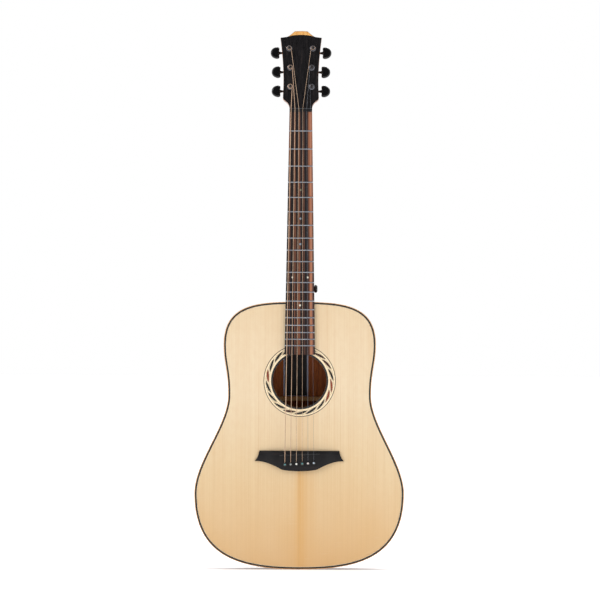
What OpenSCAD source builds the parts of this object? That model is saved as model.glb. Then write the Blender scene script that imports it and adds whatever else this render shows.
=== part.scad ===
// Steel-string acoustic guitar, dreadnought body, built as separate glued, fitted and moving pieces.
// +Z runs up the neck, the soundboard faces -Y, +X is the treble side.

/* [Body] */
// Length of the body from tail to neck joint
body_len = 508; // [480:1:520]
// Half the width across the upper bout
upper_half = 144.5; // [140:0.5:150]
// Half the width at the waist
waist_half = 135.7; // [130:0.1:140]
// Half the width across the lower bout
lower_half = 199; // [190:1:205]
// Depth of the body at the tail
depth_tail = 120; // [110:1:126]
// Depth of the body at the neck joint
depth_neck = 100; // [92:1:108]
// Thickness of the soundboard and of the back
plate_t = 2.8; // [2.4:0.1:3.2]
// Thickness of the sides and of their binding strips
side_t = 2.2; // [1.8:0.1:2.4]
// Width of the black purfling line inside the binding
purfling_w = 2.6; // [1.5:0.1:3]

/* [Soundhole] */
// Height of the soundhole's centre above the tail
hole_z = 358.2; // [356:0.1:360]
// Radius of the soundhole
hole_r = 51; // [49:0.5:52]
// Outer radius of the rosette
rosette_r = 68.5; // [66:0.5:70]

/* [Neck] */
// Scale length from nut to saddle line
scale_len = 648; // [640:1:655]
// Width of the fingerboard at the nut
nut_w = 43; // [42:0.5:45]
// Width of the fingerboard at its body end
board_end_w = 57.9; // [56:0.1:60]
// Length of the fingerboard
board_len = 461; // [458:0.5:462]
// Thickness of the fingerboard at its middle
board_t = 6.2; // [5.8:0.1:6.6]
// Radius of the fingerboard's crown
board_r = 406; // [300:1:500]
// Number of frets
frets_n = 20; // [18:1:20]
// Angle of the headstock behind the fingerboard plane
head_tilt = 8; // [6:0.5:14]

/* [Strings] */
// Distance between the outer strings at the nut
nut_spread = 37; // [35:0.5:38]
// Distance between the outer strings at the bridge
bridge_spread = 54.8; // [53:0.1:56]

/* [Tuners] */
// Distance of the lowest post above the nut, along the headstock
first_post = 41.9; // [41:0.1:43]
// Distance between the posts along the headstock
post_step = 36.9; // [36:0.1:38]
// Teeth on each tuner's gear
gear_teeth = 14; // [14:1:14]

/* [Hidden] */
$fn = 64;
face_gap = 13.05;
// y of the soundboard's outer face: the body's depth plus what stands in front of it is centred on y = 0
f = -(depth_tail - face_gap) / 2;
back_tilt = atan((depth_tail - depth_neck) / body_len);
nut_z = 868.8;
nut_len = 6;
head_z = nut_z + nut_len;
board_end_z = nut_z - board_len;
veneer_t = 1.5;
head_t = 15;

upper_z = 427;
waist_z = 330;
lower_z = 144;
binding_h = 5;
lining_w = 6;
lining_h = 14;
purfling_t = 1.4;
lining_in = side_t + lining_w;
ring_t = 1;

block_half = 38;
neck_block_z = 446;
tail_block_z = 32;
tenon_half = 14;
tenon_z = 485;

bridge_t = 8;
bridge_plate_t = 2.5;
saddle_top = 11.65;
saddle_half = 38.5;
saddle_w = 2.4;
saddle_z = 218;
saddle_slant = 2.1;
pin_z_low = 199.1;
pin_z_high = 202.3;

fret_top = 1.1;
nut_action = 7.7;
saddle_action = 11.7;

post_r = 3;
post_hole_y = -7.8;
gear_r = 3.5;
tooth_a = 0.35;
worm_r = 1.75;
worm_y = 20.5;
mesh_gap = 0.15;
worm_drop = gear_r + worm_r + mesh_gap;
worm_lead = 2 * PI * gear_r / gear_teeth;
wraps = 2.5;
run_gap = 0.05;

rod_z_low = 456;
rod_h = -8;

// ---- helpers -------------------------------------------------------------------------------------

// Cubic curve through a to d with handles b and c, and its slope
function cubic(a, b, c, d, t) =
    pow(1 - t, 3) * a + 3 * pow(1 - t, 2) * t * b + 3 * (1 - t) * t * t * c + t * t * t * d;
function cubic_slope(a, b, c, d, t) =
    pow(1 - t, 2) * (b - a) + 2 * (1 - t) * t * (c - b) + t * t * (d - c);
function flip(points) = [for (i = [len(points) - 1:-1:0]) [-points[i].x, points[i].y]];

// The body's right half, from the neck joint round to the tail: four curves, as end, handle, handle, end
body_curves = [
    [[0, body_len], [77, body_len], [upper_half, upper_z + 79], [upper_half, upper_z]],
    [[upper_half, upper_z], [upper_half, upper_z - 37], [waist_half, waist_z + 49], [waist_half, waist_z]],
    [[waist_half, waist_z], [waist_half, waist_z - 56], [lower_half, lower_z + 59], [lower_half, lower_z]],
    [[lower_half, lower_z], [lower_half, lower_z - 128], [102, 0], [0, 0]]];
curve_steps = 12;
function inset_point(c, t, d) =
    let (p = cubic(c[0], c[1], c[2], c[3], t), s = cubic_slope(c[0], c[1], c[2], c[3], t))
    p + d * [s.y, -s.x] / norm(s);
function body_half(d) = concat(
    [for (c = body_curves) for (i = [0:curve_steps - 1]) inset_point(c, i / curve_steps, d)],
    [[0, d]]);
function body_outline(d) =
    let (right = body_half(d))
    concat(right, [for (i = [len(right) - 2:-1:1]) [-right[i].x, right[i].y]]);

// A flat shape drawn in x and z, from height h0 to h1 in front of the soundboard's face
module slab(h0, h1) translate([0, f - h0, 0]) rotate([90, 0, 0]) linear_extrude(h1 - h0) children();
// The same between two heights, as a ring of the body's outline
module body_ring(d0, d1, h0, h1) slab(h0, h1)
    difference() {
        polygon(body_outline(d0));
        polygon(body_outline(d1));
    }
// Everything from depth a to depth b under the back's outer face
module back_slice(a, b) translate([0, f + depth_tail, 0]) rotate([back_tilt, 0, 0])
    translate([-300, -b, -60]) cube([600, b - a, 700]);
// The headstock's own frame: +Z along it, -Y out of its face
module head_frame() translate([0, f, head_z]) rotate([-head_tilt, 0, 0]) children();
function head_to_row(p) = [
    p.x,
    f + p.y * cos(head_tilt) + p.z * sin(head_tilt),
    head_z - p.y * sin(head_tilt) + p.z * cos(head_tilt)];
// A bar lying on a plate, from one point to another in x and z, w wide, between two heights
module bar(a, b, w, h0, h1) slab(h0, h1)
    translate(a) rotate(atan2(b.y - a.y, b.x - a.x)) translate([0, -w / 2]) square([norm(b - a), w]);
// A closed skin over rings of points, all with the same number of points
module skin(rings) {
    m = len(rings[0]);
    k = len(rings);
    polyhedron(
        points = [for (r = rings) each r],
        faces = concat(
            [[for (i = [0:m - 1]) i]],
            [[for (i = [m - 1:-1:0]) (k - 1) * m + i]],
            [for (j = [0:k - 2]) for (i = [0:m - 1]) [j * m + i, (j + 1) * m + i, j * m + (i + 1) % m]],
            [for (j = [0:k - 2]) for (i = [0:m - 1])
                [j * m + (i + 1) % m, (j + 1) * m + i, (j + 1) * m + (i + 1) % m]]));
}
function unit(v) = v / norm(v);
// A tube of radius r along a route, with n sides
function route_dir(p, i) = unit(p[min(i + 1, len(p) - 1)] - p[max(i - 1, 0)]);
module tube(p, r, n = 8) {
    sides = [for (i = 0, u = unit(cross(route_dir(p, 0), [1, 0.1, 0.2]));
                  i < len(p);
                  i = i + 1, u = i < len(p) ? unit(u - (u * route_dir(p, i)) * route_dir(p, i)) : u) u];
    skin([for (i = [0:len(p) - 1])
        let (u = sides[i], v = cross(route_dir(p, i), u))
        [for (a = [0:360 / n:359]) p[i] + r * (cos(a) * u + sin(a) * v)]]);
}
function mix(a, b, t) = a + (b - a) * t;

// Strings: 1 is the thin treble string, 6 the thick bass string
string_r = [0.15, 0.205, 0.305, 0.405, 0.535, 0.675];
function r_of(k) = string_r[k - 1];
function place(k) = (6 - k) / 5;
function nut_x(k) = mix(-nut_spread / 2, nut_spread / 2, place(k));
function bridge_x(k) = mix(-bridge_spread / 2, bridge_spread / 2, place(k));
function pin_z(k) = mix(pin_z_low, pin_z_high, place(k));
function saddle_at(k) = saddle_z + bridge_x(k) * tan(saddle_slant);
// Tuners: three on each side, the lowest for the outer strings
post_row = [0, 1, 2, 2, 1, 0];
post_x = [20.3, 20.3, 22.5];
function side_of(k) = k <= 3 ? 1 : -1;
function row_of(k) = post_row[k - 1];
function post_pos(k) = [side_of(k) * post_x[row_of(k)], first_post + row_of(k) * post_step];
module at_post(k) head_frame() translate([post_pos(k).x, 0, post_pos(k).y])
    mirror([side_of(k) < 0 ? 1 : 0, 0, 0]) children();

// ---- body ----------------------------------------------------------------------------------------

module pin_bores(h0, h1) for (k = [1:6]) pin_cone(k, h0, h1, run_gap);
// The pins' shared taper, h0 to h1 in front of the soundboard's face, with some clearance
function pin_r(h) = 2.15 + (h + 14) * 0.4 / 22;
module pin_cone(k, h0, h1, gap) translate([bridge_x(k), f - h0, pin_z(k)]) rotate([90, 0, 0])
    cylinder(h = h1 - h0, r1 = pin_r(h0) + gap, r2 = pin_r(h1) + gap);
module rod_way(r, z0, z1) translate([0, f - rod_h, z0]) cylinder(h = z1 - z0, r = r);

module soundboard() color([0.93, 0.80, 0.60]) difference() {
    union() {
        slab(-plate_t, -purfling_t) polygon(body_outline(side_t));
        slab(-purfling_t, 0) polygon(body_outline(side_t + purfling_w));
    }
    translate([0, f, hole_z]) rotate([90, 0, 0]) {
        translate([0, 0, -20]) cylinder(h = 40, r = hole_r, $fn = 128);
        translate([0, 0, -ring_t]) cylinder(h = 10, r = rosette_r, $fn = 128);
    }
    pin_bores(-plate_t - 1, 1);
}
module rosette() color([0.12, 0.09, 0.07]) translate([0, f, hole_z]) rotate([90, 0, 0])
    translate([0, 0, -ring_t]) difference() {
        cylinder(h = ring_t, r = rosette_r, $fn = 128);
        translate([0, 0, -1]) cylinder(h = 5, r = hole_r, $fn = 128);
    }
module back_plate() color([0.42, 0.20, 0.10]) intersection() {
    slab(-depth_tail - 10, -depth_neck + 20) polygon(body_outline(side_t));
    back_slice(0, plate_t);
}
module sides() difference() {
    body_ring(0, side_t, -depth_tail - 10, -binding_h);
    back_slice(-40, binding_h);
    translate([-tenon_half, f + binding_h, tenon_z]) cube([2 * tenon_half, 75, 40]);
}
module side_bass() color([0.45, 0.22, 0.11]) intersection() {
    sides();
    translate([-300, -200, -50]) cube([300, 400, 700]);
}
module side_treble() color([0.45, 0.22, 0.11]) intersection() {
    sides();
    translate([0, -200, -50]) cube([300, 400, 700]);
}
module top_binding() color([0.80, 0.62, 0.38]) body_ring(0, side_t, -binding_h, 0);
module top_purfling() color([0.06, 0.05, 0.05]) body_ring(side_t, side_t + purfling_w, -purfling_t, 0);
module back_binding() color([0.80, 0.62, 0.38]) intersection() {
    body_ring(0, side_t, -depth_tail - 10, -depth_neck + 20);
    back_slice(0, binding_h);
}
module block_space() {
    translate([-block_half, f, neck_block_z]) cube([2 * block_half, depth_tail + 20, 100]);
    translate([-block_half, f, -20]) cube([2 * block_half, depth_tail + 20, tail_block_z + 20]);
}
module inner_column() difference() {
    slab(-depth_tail - 10, -plate_t) polygon(body_outline(side_t));
    back_slice(-40, plate_t);
}
module neck_block() color([0.70, 0.45, 0.28]) difference() {
    intersection() {
        inner_column();
        translate([-block_half, f, neck_block_z]) cube([2 * block_half, depth_tail + 20, 100]);
    }
    translate([-tenon_half, f + binding_h, tenon_z]) cube([2 * tenon_half, 75, 40]);
    rod_way(2.9, 440, 500);
    rod_way(4.6, 440, rod_z_low);
}
module tail_block() color([0.70, 0.45, 0.28]) intersection() {
    inner_column();
    translate([-block_half, f, -20]) cube([2 * block_half, depth_tail + 20, tail_block_z + 20]);
}
module top_linings() color([0.78, 0.60, 0.42]) difference() {
    body_ring(side_t, lining_in, -plate_t - lining_h, -plate_t);
    block_space();
}
module back_linings() color([0.78, 0.60, 0.42]) difference() {
    intersection() {
        body_ring(side_t, lining_in, -depth_tail - 10, -depth_neck + 40);
        back_slice(plate_t, plate_t + lining_h);
    }
    block_space();
}
brace_edge = lining_in + 0.2;
module inside(h0, h1) intersection() {
    slab(h0, h1) polygon(body_outline(brace_edge));
    union() children();
}
x_cross = [0, 276];
x_angle = 49;
function x_end(s, t) = x_cross + t * [s * sin(x_angle), cos(x_angle)];
module x_braces() color([0.88, 0.76, 0.56]) inside(-plate_t - 14, -plate_t)
    for (s = [-1, 1]) bar(x_end(s, -230), x_end(s, 190), 8, -plate_t - 14, -plate_t);
module transverse_brace() color([0.88, 0.76, 0.56]) difference() {
    inside(-plate_t - 16, -plate_t) bar([-150, 432], [150, 432], 12, -plate_t - 16, -plate_t);
    rod_way(4.6, 420, 440);
}
module tone_bars() color([0.88, 0.76, 0.56]) {
    bar([84, 160], [-104, 112], 6, -plate_t - 10, -plate_t);
    bar([102, 118], [-70, 66], 6, -plate_t - 9, -plate_t);
}
module finger_braces() color([0.88, 0.76, 0.56]) for (s = [-1, 1]) {
    bar([s * 100, 214], [s * 144, 236], 6, -plate_t - 8, -plate_t);
    bar([s * 118, 184], [s * 164, 202], 6, -plate_t - 8, -plate_t);
}
module bridge_plate() color([0.85, 0.72, 0.55]) difference() {
    slab(-plate_t - bridge_plate_t, -plate_t) polygon([[-50, 222], [50, 222], [80, 180], [-80, 180]]);
    pin_bores(-plate_t - bridge_plate_t - 1, 1);
}
back_brace_z = [415, 323, 215, 110];
back_brace_w = [8, 8, 16, 16];
back_brace_h = [15, 15, 11, 11];
module back_braces() color([0.80, 0.62, 0.42]) for (i = [0:3]) intersection() {
    slab(-depth_tail, -depth_neck + 30) polygon(body_outline(brace_edge));
    back_slice(plate_t, plate_t + back_brace_h[i]);
    translate([-250, -100, back_brace_z[i] - back_brace_w[i] / 2]) cube([500, 300, back_brace_w[i]]);
}
label_left = -31;
label_w = 47.5;
label_z = 328;
label_h = 82;
module label() color([0.16, 0.12, 0.10]) intersection() {
    translate([label_left, f, label_z]) cube([label_w, depth_tail, label_h]);
    back_slice(plate_t, plate_t + 0.3);
}

// The bridge's right half: top corner, hollow end, wing tip, hollow underside, lower corner
bridge_top = [76.3, 225.3];
bridge_tip = [84.8, 205.6];
bridge_low = [34, 189.6];
bridge_foot = 186.4;
function bridge_half() = concat(
    [for (i = [0:8]) cubic(bridge_top, [76.8, 218], [80, 210], bridge_tip, i / 8)],
    [for (i = [1:10]) cubic(bridge_tip, [66, 206.2], [48, 197.5], bridge_low, i / 10)],
    [for (i = [1:5]) cubic(bridge_low, [24, 187.4], [12, bridge_foot], [0, bridge_foot], i / 5)]);
module saddle_shape(w, h0, h1) translate([0, f - h0, saddle_z]) rotate([90, 0, 0])
    rotate(saddle_slant) translate([-saddle_half, -w / 2, 0]) cube([2 * saddle_half, w, h1 - h0]);
module bridge() color([0.07, 0.06, 0.07]) difference() {
    slab(0, bridge_t) polygon(concat(bridge_half(), [for (p = flip(bridge_half())) if (p.x < 0) p]));
    saddle_shape(saddle_w, bridge_t - 5, bridge_t + 5);
    pin_bores(-1, bridge_t + 1);
    for (k = [1:6]) translate([bridge_x(k) - 0.8, f - bridge_t - 2, pin_z(k)]) cube([1.6, 2.6, 4.6]);
}
// The saddle's section, height along y: a rounded ridge that the strings bend over
module saddle() color([0.10, 0.09, 0.10]) translate([0, f - bridge_t + 5, saddle_z])
    rotate([90, 0, 0]) rotate(saddle_slant) translate([-saddle_half, 0, 0]) rotate([90, 0, 90])
        linear_extrude(2 * saddle_half) polygon([
            [-saddle_w / 2, 0], [saddle_w / 2, 0], [saddle_w / 2, saddle_top - bridge_t + 4.2],
            [0.5, saddle_top - bridge_t + 4.9], [0, saddle_top - bridge_t + 5],
            [-0.5, saddle_top - bridge_t + 4.8], [-saddle_w / 2, saddle_top - bridge_t + 4.2]]);
module bridge_pin(k) color([0.05, 0.05, 0.05]) difference() {
    union() {
        pin_cone(k, -14, bridge_t, 0);
        translate([bridge_x(k), f - bridge_t - run_gap, pin_z(k)]) rotate([90, 0, 0]) {
            translate([0, 0, -0.2]) cylinder(h = 0.3, r = 2.4);
            rotate_extrude() polygon([[0, 0], [3.2, 0], [3.2, 1.9], [3.9, 2.3], [3.9, 3.1],
                                      [3.5, 4], [2.6, 4.7], [1.3, 4.95], [0, 4.95]]);
        }
    }
    translate([bridge_x(k) - 0.75, f - bridge_t - 1.9, pin_z(k) + 0.85]) cube([1.5, 30, 5]);
}

// ---- neck ----------------------------------------------------------------------------------------

function neck_half(z) = max(nut_w, nut_w + (nut_z - z) * (board_end_w - nut_w) / board_len) / 2;
heel_ridge = [[533, 106], [536, 56], [550, 19], [604, 16.4]];
heel_depth = 106;
// Rings as height, depth, and the squareness of the section
neck_rings = concat(
    [[500, heel_depth, 6]],
    [for (i = [0:9]) let (p = cubic(heel_ridge[0], heel_ridge[1], heel_ridge[2], heel_ridge[3], i / 9))
        [p.x, p.y, 2.3 + 3.7 * min(1, (p.y - 16.4) / 60)]],
    [[640, 16.2, 2.3], [700, 15.8, 2.3], [780, 15.2, 2.3], [840, 14.7, 2.3],
     [856, 14.6, 2.6], [866, 14.8, 3.4], [head_z, 15.2, 6]]);
section_step = 7.5;
function heel_taper(y) = 1 - 0.45 * pow(y / 100, 0.9);
function neck_ring(z, d, p) = [for (a = [0:section_step:180])
    let (y = d * pow(max(0, sin(a)), 2 / p), c = cos(a))
    [sign(c) * neck_half(z) * pow(abs(c), 2 / p) * heel_taper(y), f + y, z]];
module neck_blank() skin([for (r = neck_rings) neck_ring(r[0], r[1], r[2])]);
strap_pos = [0, f + 46, 533];
strap_seat = 17.5;
module neck() color([0.55, 0.33, 0.18]) difference() {
    union() {
        difference() {
            neck_blank();
            slab(-depth_tail - 20, 1) polygon(body_outline(0));
        }
        translate([-tenon_half, f + binding_h, tenon_z]) cube([2 * tenon_half, 75, 25]);
    }
    under_neck_cap();
    translate([-3.1, f - 1, 480]) cube([6.2, 11.7, 383]);
    translate([strap_seat, strap_pos.y, strap_pos.z]) rotate([0, 90, 0]) {
        cylinder(h = 30, r = 8);
        translate([0, 0, -18.5]) cylinder(h = 20, r = 1.6);
    }
}
cap_t = 2.5;
module under_neck_cap() translate([0, f + depth_tail, 0]) rotate([back_tilt, 0, 0])
    translate([-60, -cap_t, 480]) cube([120, 60, 100]);
module heel_cap() color([0.09, 0.07, 0.07]) difference() {
    intersection() {
        neck_blank();
        back_slice(0, cap_t);
    }
    slab(-depth_tail - 20, 1) polygon(body_outline(0));
}
module strap_button() color([0.05, 0.05, 0.05])
    translate([strap_seat, strap_pos.y, strap_pos.z]) rotate([0, 90, 0]) rotate_extrude()
        polygon([[1.7, 0], [6.8, 0], [6.8, 1], [4.6, 2.6], [3.7, 4.5], [3.7, 8], [4.4, 9], [6.2, 9.8],
                 [7.4, 10.8], [7.8, 12.2], [7.4, 13.8], [6.3, 15.1], [4.8, 15.7], [3.4, 15.8],
                 [3.4, 14.2], [1.7, 12.6]]);
module strap_button_screw() color([0.7, 0.7, 0.7])
    translate([strap_seat, strap_pos.y, strap_pos.z]) rotate([0, 90, 0]) {
        translate([0, 0, -18]) cylinder(h = 31, r = 1.55);
        translate([0, 0, 12.7]) cylinder(h = 1.7, r1 = 1.55, r2 = 3.2);
    }
module board_blank(h1) intersection() {
    slab(0, h1) polygon([
        [-board_end_w / 2, board_end_z], [board_end_w / 2, board_end_z],
        [nut_w / 2, nut_z], [-nut_w / 2, nut_z]]);
    translate([0, f - h1 + board_r, board_end_z - 5]) cylinder(h = board_len + 10, r = board_r, $fn = 256);
}
function fret_z(n) = nut_z - scale_len * (1 - pow(2, -n / 12));
module fret_slots(w, h0) for (n = [1:frets_n])
    translate([-40, f - board_t - 3, fret_z(n) - w / 2]) cube([80, board_t + 3 - h0, w]);
dot_list = [[5, 0], [7, 0], [9, 0], [12, -14], [12, 14], [15, 0]];
function dot_z(d) = (fret_z(d[0]) + fret_z(d[0] - 1)) / 2;
module fingerboard() color([0.16, 0.09, 0.06]) difference() {
    board_blank(board_t);
    fret_slots(0.6, board_t - 2.2);
    for (d = dot_list) translate([d[1], f, dot_z(d)]) rotate([90, 0, 0])
        translate([0, 0, board_t - 1.8]) cylinder(h = 10, r = 2.02);
}
module frets() color([0.75, 0.75, 0.72]) for (n = [1:frets_n]) {
    half = neck_half(fret_z(n));
    translate([-half, f - board_t + 0.4, fret_z(n) - 0.3]) cube([2 * half, 1.75, 0.6]);
    intersection() {
        translate([-half, f - board_t - 3, fret_z(n) - 1]) cube([2 * half, 4.4, 2]);
        translate([0, f - board_t + board_r, fret_z(n) - 1]) difference() {
            cylinder(h = 2, r = board_r + fret_top, $fn = 256);
            translate([0, 0, -1]) cylinder(h = 4, r = board_r + 0.02, $fn = 256);
        }
    }
}
// A dot's top lies just under the crown, which is lower away from the middle
function dot_top(d) = board_t - d[1] * d[1] / (2 * board_r) - 0.02;
module position_dots() color([0.85, 0.82, 0.72]) for (d = dot_list)
    translate([d[1], f - board_t + 1.78, dot_z(d)]) rotate([90, 0, 0])
        cylinder(h = dot_top(d) - board_t + 1.78, r = 2);
function string_slope(k) = (saddle_action - nut_action) / (head_z - saddle_at(k));
function string_h(k, z) = saddle_action + r_of(k) - (z - saddle_at(k)) * string_slope(k);
module nut() color([0.06, 0.06, 0.06]) difference() {
    slab(0, nut_action + 0.7) translate([-nut_w / 2, nut_z]) square([nut_w, nut_len]);
    for (k = [1:6]) translate([nut_x(k), f - string_h(k, nut_z), nut_z - 1]) {
        cylinder(h = nut_len + 2, r = r_of(k) + 0.1);
        translate([-r_of(k) - 0.1, -4, 0]) cube([2 * r_of(k) + 0.2, 4, nut_len + 2]);
    }
}
// The headstock's right half, along its own face: neck, shoulder, corner, crown
function head_half() = concat(
    [[21.5, -8], [21.5, 0]],
    [for (i = [1:6]) cubic([21.5, 0], [21.5, 5.9], [24, 11.4], [30.2, 15], i / 6)],
    [for (i = [0:6]) cubic([34.2, 21.8], [32, 59.3], [33.4, 90.9], [39.3, 136.8], i / 6)],
    [for (i = [1:3]) cubic([39.3, 136.8], [36, 137.1], [30.5, 137.8], [26.2, 138.6], i / 3)],
    [for (i = [1:6]) cubic([26.2, 138.6], [21.5, 140.6], [17.5, 144.6], [12.3, 149.1], i / 6)],
    [[6, 149.5], [0, 149.6]]);
module head_board(y0, y1) intersection() {
    head_frame() translate([0, y1, 0]) rotate([90, 0, 0]) linear_extrude(y1 - y0)
        polygon(concat(head_half(), [for (p = flip(head_half())) if (p.x < 0) p]));
    translate([-100, -200, head_z]) cube([200, 400, 300]);
}
module bushing_bores(r) for (k = [1:6]) at_post(k) translate([0, 30, 0]) rotate([90, 0, 0])
    cylinder(h = 60, r = r);
bush_r = 4.8;
lug_z = 9.6;
module headstock() color([0.60, 0.42, 0.24]) difference() {
    head_board(veneer_t, head_t);
    bushing_bores(bush_r);
    for (k = [1:6]) at_post(k) translate([0, head_t + 1, lug_z]) rotate([90, 0, 0])
        cylinder(h = 10.2, r = 1.2);
}
module headstock_veneer() color([0.06, 0.05, 0.06]) difference() {
    head_board(0, veneer_t);
    bushing_bores(bush_r);
}

// ---- truss rod -----------------------------------------------------------------------------------

module truss_rod() color([0.45, 0.45, 0.47]) {
    rod_way(2.5, rod_z_low - 12, 862);
    translate([-3, f + 2.6, 509]) cube([6, 3.2, 353]);
    translate([-3, f + 2.6, 850]) cube([6, 8, 12]);
}
module truss_rod_nut() color([0.30, 0.30, 0.32]) difference() {
    rod_way(3.5, rod_z_low - 15, rod_z_low - 1);
    rod_way(2.55, rod_z_low - 12.2, rod_z_low);
    translate([0, f - rod_h, rod_z_low - 16]) cylinder(h = 4, r = 2.3, $fn = 6);
}

// ---- tuning machines -----------------------------------------------------------------------------

module rounded_plate(w0, w1, z0, z1, c) polygon([
    [w0 + c, z0], [w1 - c, z0], [w1, z0 + c], [w1, z1 - c], [w1 - c, z1], [w0 + c, z1],
    [w0, z1 - c], [w0, z0 + c]]);
module tuner_housing() difference() {
    union() {
        translate([0, 26.2, 0]) rotate([90, 0, 0]) linear_extrude(11.2)
            rounded_plate(-8.6, 8.6, -9.8, 6.4, 2.5);
        translate([0, 27.6, 0]) rotate([90, 0, 0]) linear_extrude(2)
            rounded_plate(-7.4, 7.4, -8.6, 5.2, 2);
        translate([0, head_t + 2.4, 0]) rotate([90, 0, 0]) linear_extrude(2.4) {
            translate([0, lug_z]) circle(r = 3.2);
            translate([-3.2, 3]) square([6.4, lug_z - 3]);
        }
    }
    translate([-6.4, head_t - 1, -8]) cube([12.8, 10.8, 12.6]);
    translate([0, 27, 0]) rotate([90, 0, 0]) cylinder(h = 4, r = 1.55);
    translate([-7.9, worm_y, -worm_drop]) rotate([0, 90, 0]) cylinder(h = 3, r = 1.25);
    translate([5, worm_y, -worm_drop]) rotate([0, 90, 0]) cylinder(h = 6, r = 1.85);
    translate([0, head_t + 4, lug_z]) rotate([90, 0, 0]) cylinder(h = 6, r = 1.25);
}
module tuner_housings() color([0.10, 0.10, 0.11]) for (k = [1:6]) at_post(k) tuner_housing();
module tuner_bushings() color([0.62, 0.62, 0.64]) for (k = [1:6]) at_post(k)
    rotate([-90, 0, 0]) rotate_extrude() polygon([
        [post_r + run_gap, -2.6], [3.9, -2.6], [4.4, -1.7], [5.4, -1.5], [6, -0.8], [6, 0],
        [bush_r, 0], [bush_r, 12], [post_r + run_gap, 12]]);
module tuner_screws() color([0.35, 0.35, 0.36]) for (k = [1:6]) at_post(k)
    translate([0, head_t + 2.4, lug_z]) rotate([90, 0, 0]) {
        cylinder(h = 11, r = 1.15);
        translate([0, 0, -1.2]) difference() {
            cylinder(h = 1.2, r1 = 1.7, r2 = 2.3);
            translate([-0.3, -3, -0.1]) cube([0.6, 6, 0.7]);
        }
    }
gear_points = [for (i = [0:gear_teeth * 8 - 1])
    let (a = i * 360 / (gear_teeth * 8), r = gear_r - tooth_a * cos(gear_teeth * a))
    r * [sin(a), -cos(a)]];
module tuner_post(k) color([0.30, 0.28, 0.26]) at_post(k) difference() {
    union() {
        rotate([-90, 0, 0]) rotate_extrude() polygon([
            [0, -11], [1.6, -11], [2.9, -10.6], [3.2, -10], [3.2, -9.5], [post_r, -9],
            [post_r, 18.6], [0, 18.6]]);
        translate([0, 22.6, 0]) rotate([90, 0, 0]) linear_extrude(4.2) polygon(gear_points);
        translate([0, 25.9, 0]) rotate([90, 0, 0]) cylinder(h = 4, r = 1.5);
    }
    translate([-5, post_hole_y, 0]) rotate([0, 90, 0]) cylinder(h = 10, r = 0.85);
}
worm_half = 3.5;
worm_turns = 2 * worm_half / worm_lead;
// The key's button: a half-moon with its hollow side to the headstock
function button_half() = concat(
    [for (i = [0:5]) cubic([0.4, 0], [0.2, 3], [-0.8, 6.2], [-0.4, 9], i / 5)],
    [for (i = [1:5]) cubic([-0.4, 9], [0.2, 11.1], [3.4, 11.8], [6.2, 11.2], i / 5)],
    [for (i = [1:7]) cubic([6.2, 11.2], [12.2, 10], [16.4, 6], [16.4, 0], i / 7)]);
module tuner_key(k) color([0.05, 0.05, 0.05]) at_post(k) translate([0, worm_y, -worm_drop]) {
    rotate([0, 90, 0]) {
        translate([0, 0, -worm_half]) rotate(-360 * worm_turns / 2)
            linear_extrude(2 * worm_half, twist = -360 * worm_turns, slices = 36, $fn = 10)
                translate([-tooth_a, 0]) circle(r = worm_r);
        translate([0, 0, -7.7]) cylinder(h = 11.8, r = 1.2);
        translate([0, 0, worm_half - 0.1]) cylinder(h = 1.1, r = 2.4);
        translate([0, 0, worm_half + 1]) cylinder(h = 10.5, r = 1.8);
        translate([0, 0, worm_half + 11.5]) cylinder(h = 5.2, r1 = 1.8, r2 = 3);
    }
    translate([19, 3.6, 0]) rotate([90, 0, 0]) linear_extrude(7.2)
        polygon(concat(button_half(), [for (i = [len(button_half()) - 2:-1:1])
            [button_half()[i].x, -button_half()[i].y]]));
}

// ---- strings -------------------------------------------------------------------------------------

wrap_gap = 0.1;
pin_side = 1.6;
// The string's run to its post, in the headstock's frame: the mirrored offset from nut to post
nut_end_z = head_z + 0.3;
function string_route(k) =
    let (r = r_of(k), s = side_of(k), x = bridge_x(k), z = pin_z(k), c = post_pos(k),
         low = -plate_t - bridge_plate_t,
         ring = post_r + r + wrap_gap,
         pitch = 2 * r + 0.06,
         y_in = post_hole_y + wraps * pitch,
         nut_h = string_h(k, nut_end_z),
         u = s * (c.x - nut_x(k)),
         w = c.y + nut_h * sin(head_tilt),
         start = atan2(u, w) - asin(ring / norm([u, w])))
    concat(
        [[x, f - low + 2.1, z + 4.4], [x, f - low + 1.6, z + 2.4], [x, f - low + 0.6, z + pin_side],
         [x, f - bridge_t + 1, z + pin_side], [x, f - bridge_t - 0.35, z + pin_side + 0.3],
         [x, f - bridge_t - 0.75, z + pin_side + 1.6],
         [x, f - saddle_action - r, saddle_at(k)],
         [nut_x(k), f - nut_h, nut_end_z]],
        [for (i = [0:wraps * 12])
            let (a = start + i * 30)
            head_to_row([c.x - s * ring * cos(a), y_in - pitch * i / 12, c.y + ring * sin(a)])]);
module string_at(k) color(k < 3 ? [0.80, 0.80, 0.80] : [0.66, 0.48, 0.30]) {
    tube(string_route(k), r_of(k));
    translate([bridge_x(k) - 1.7, f + plate_t + bridge_plate_t + 2.1, pin_z(k) + 4.6])
        rotate([0, 90, 0]) cylinder(h = 3.4, r = 1.9);
}

// ---- the pieces ----------------------------------------------------------------------------------

soundboard();
back_plate();
side_bass();
side_treble();
neck_block();
tail_block();
top_linings();
back_linings();
top_binding();
top_purfling();
back_binding();
x_braces();
transverse_brace();
tone_bars();
finger_braces();
bridge_plate();
back_braces();
rosette();
label();
bridge();
saddle();
strap_button();
strap_button_screw();
neck();
heel_cap();
headstock();
headstock_veneer();
fingerboard();
frets();
position_dots();
nut();
truss_rod();
truss_rod_nut();
tuner_housings();
tuner_bushings();
tuner_screws();
for (k = [1:6]) {
    tuner_post(k);
    tuner_key(k);
    bridge_pin(k);
    string_at(k);
}
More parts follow.
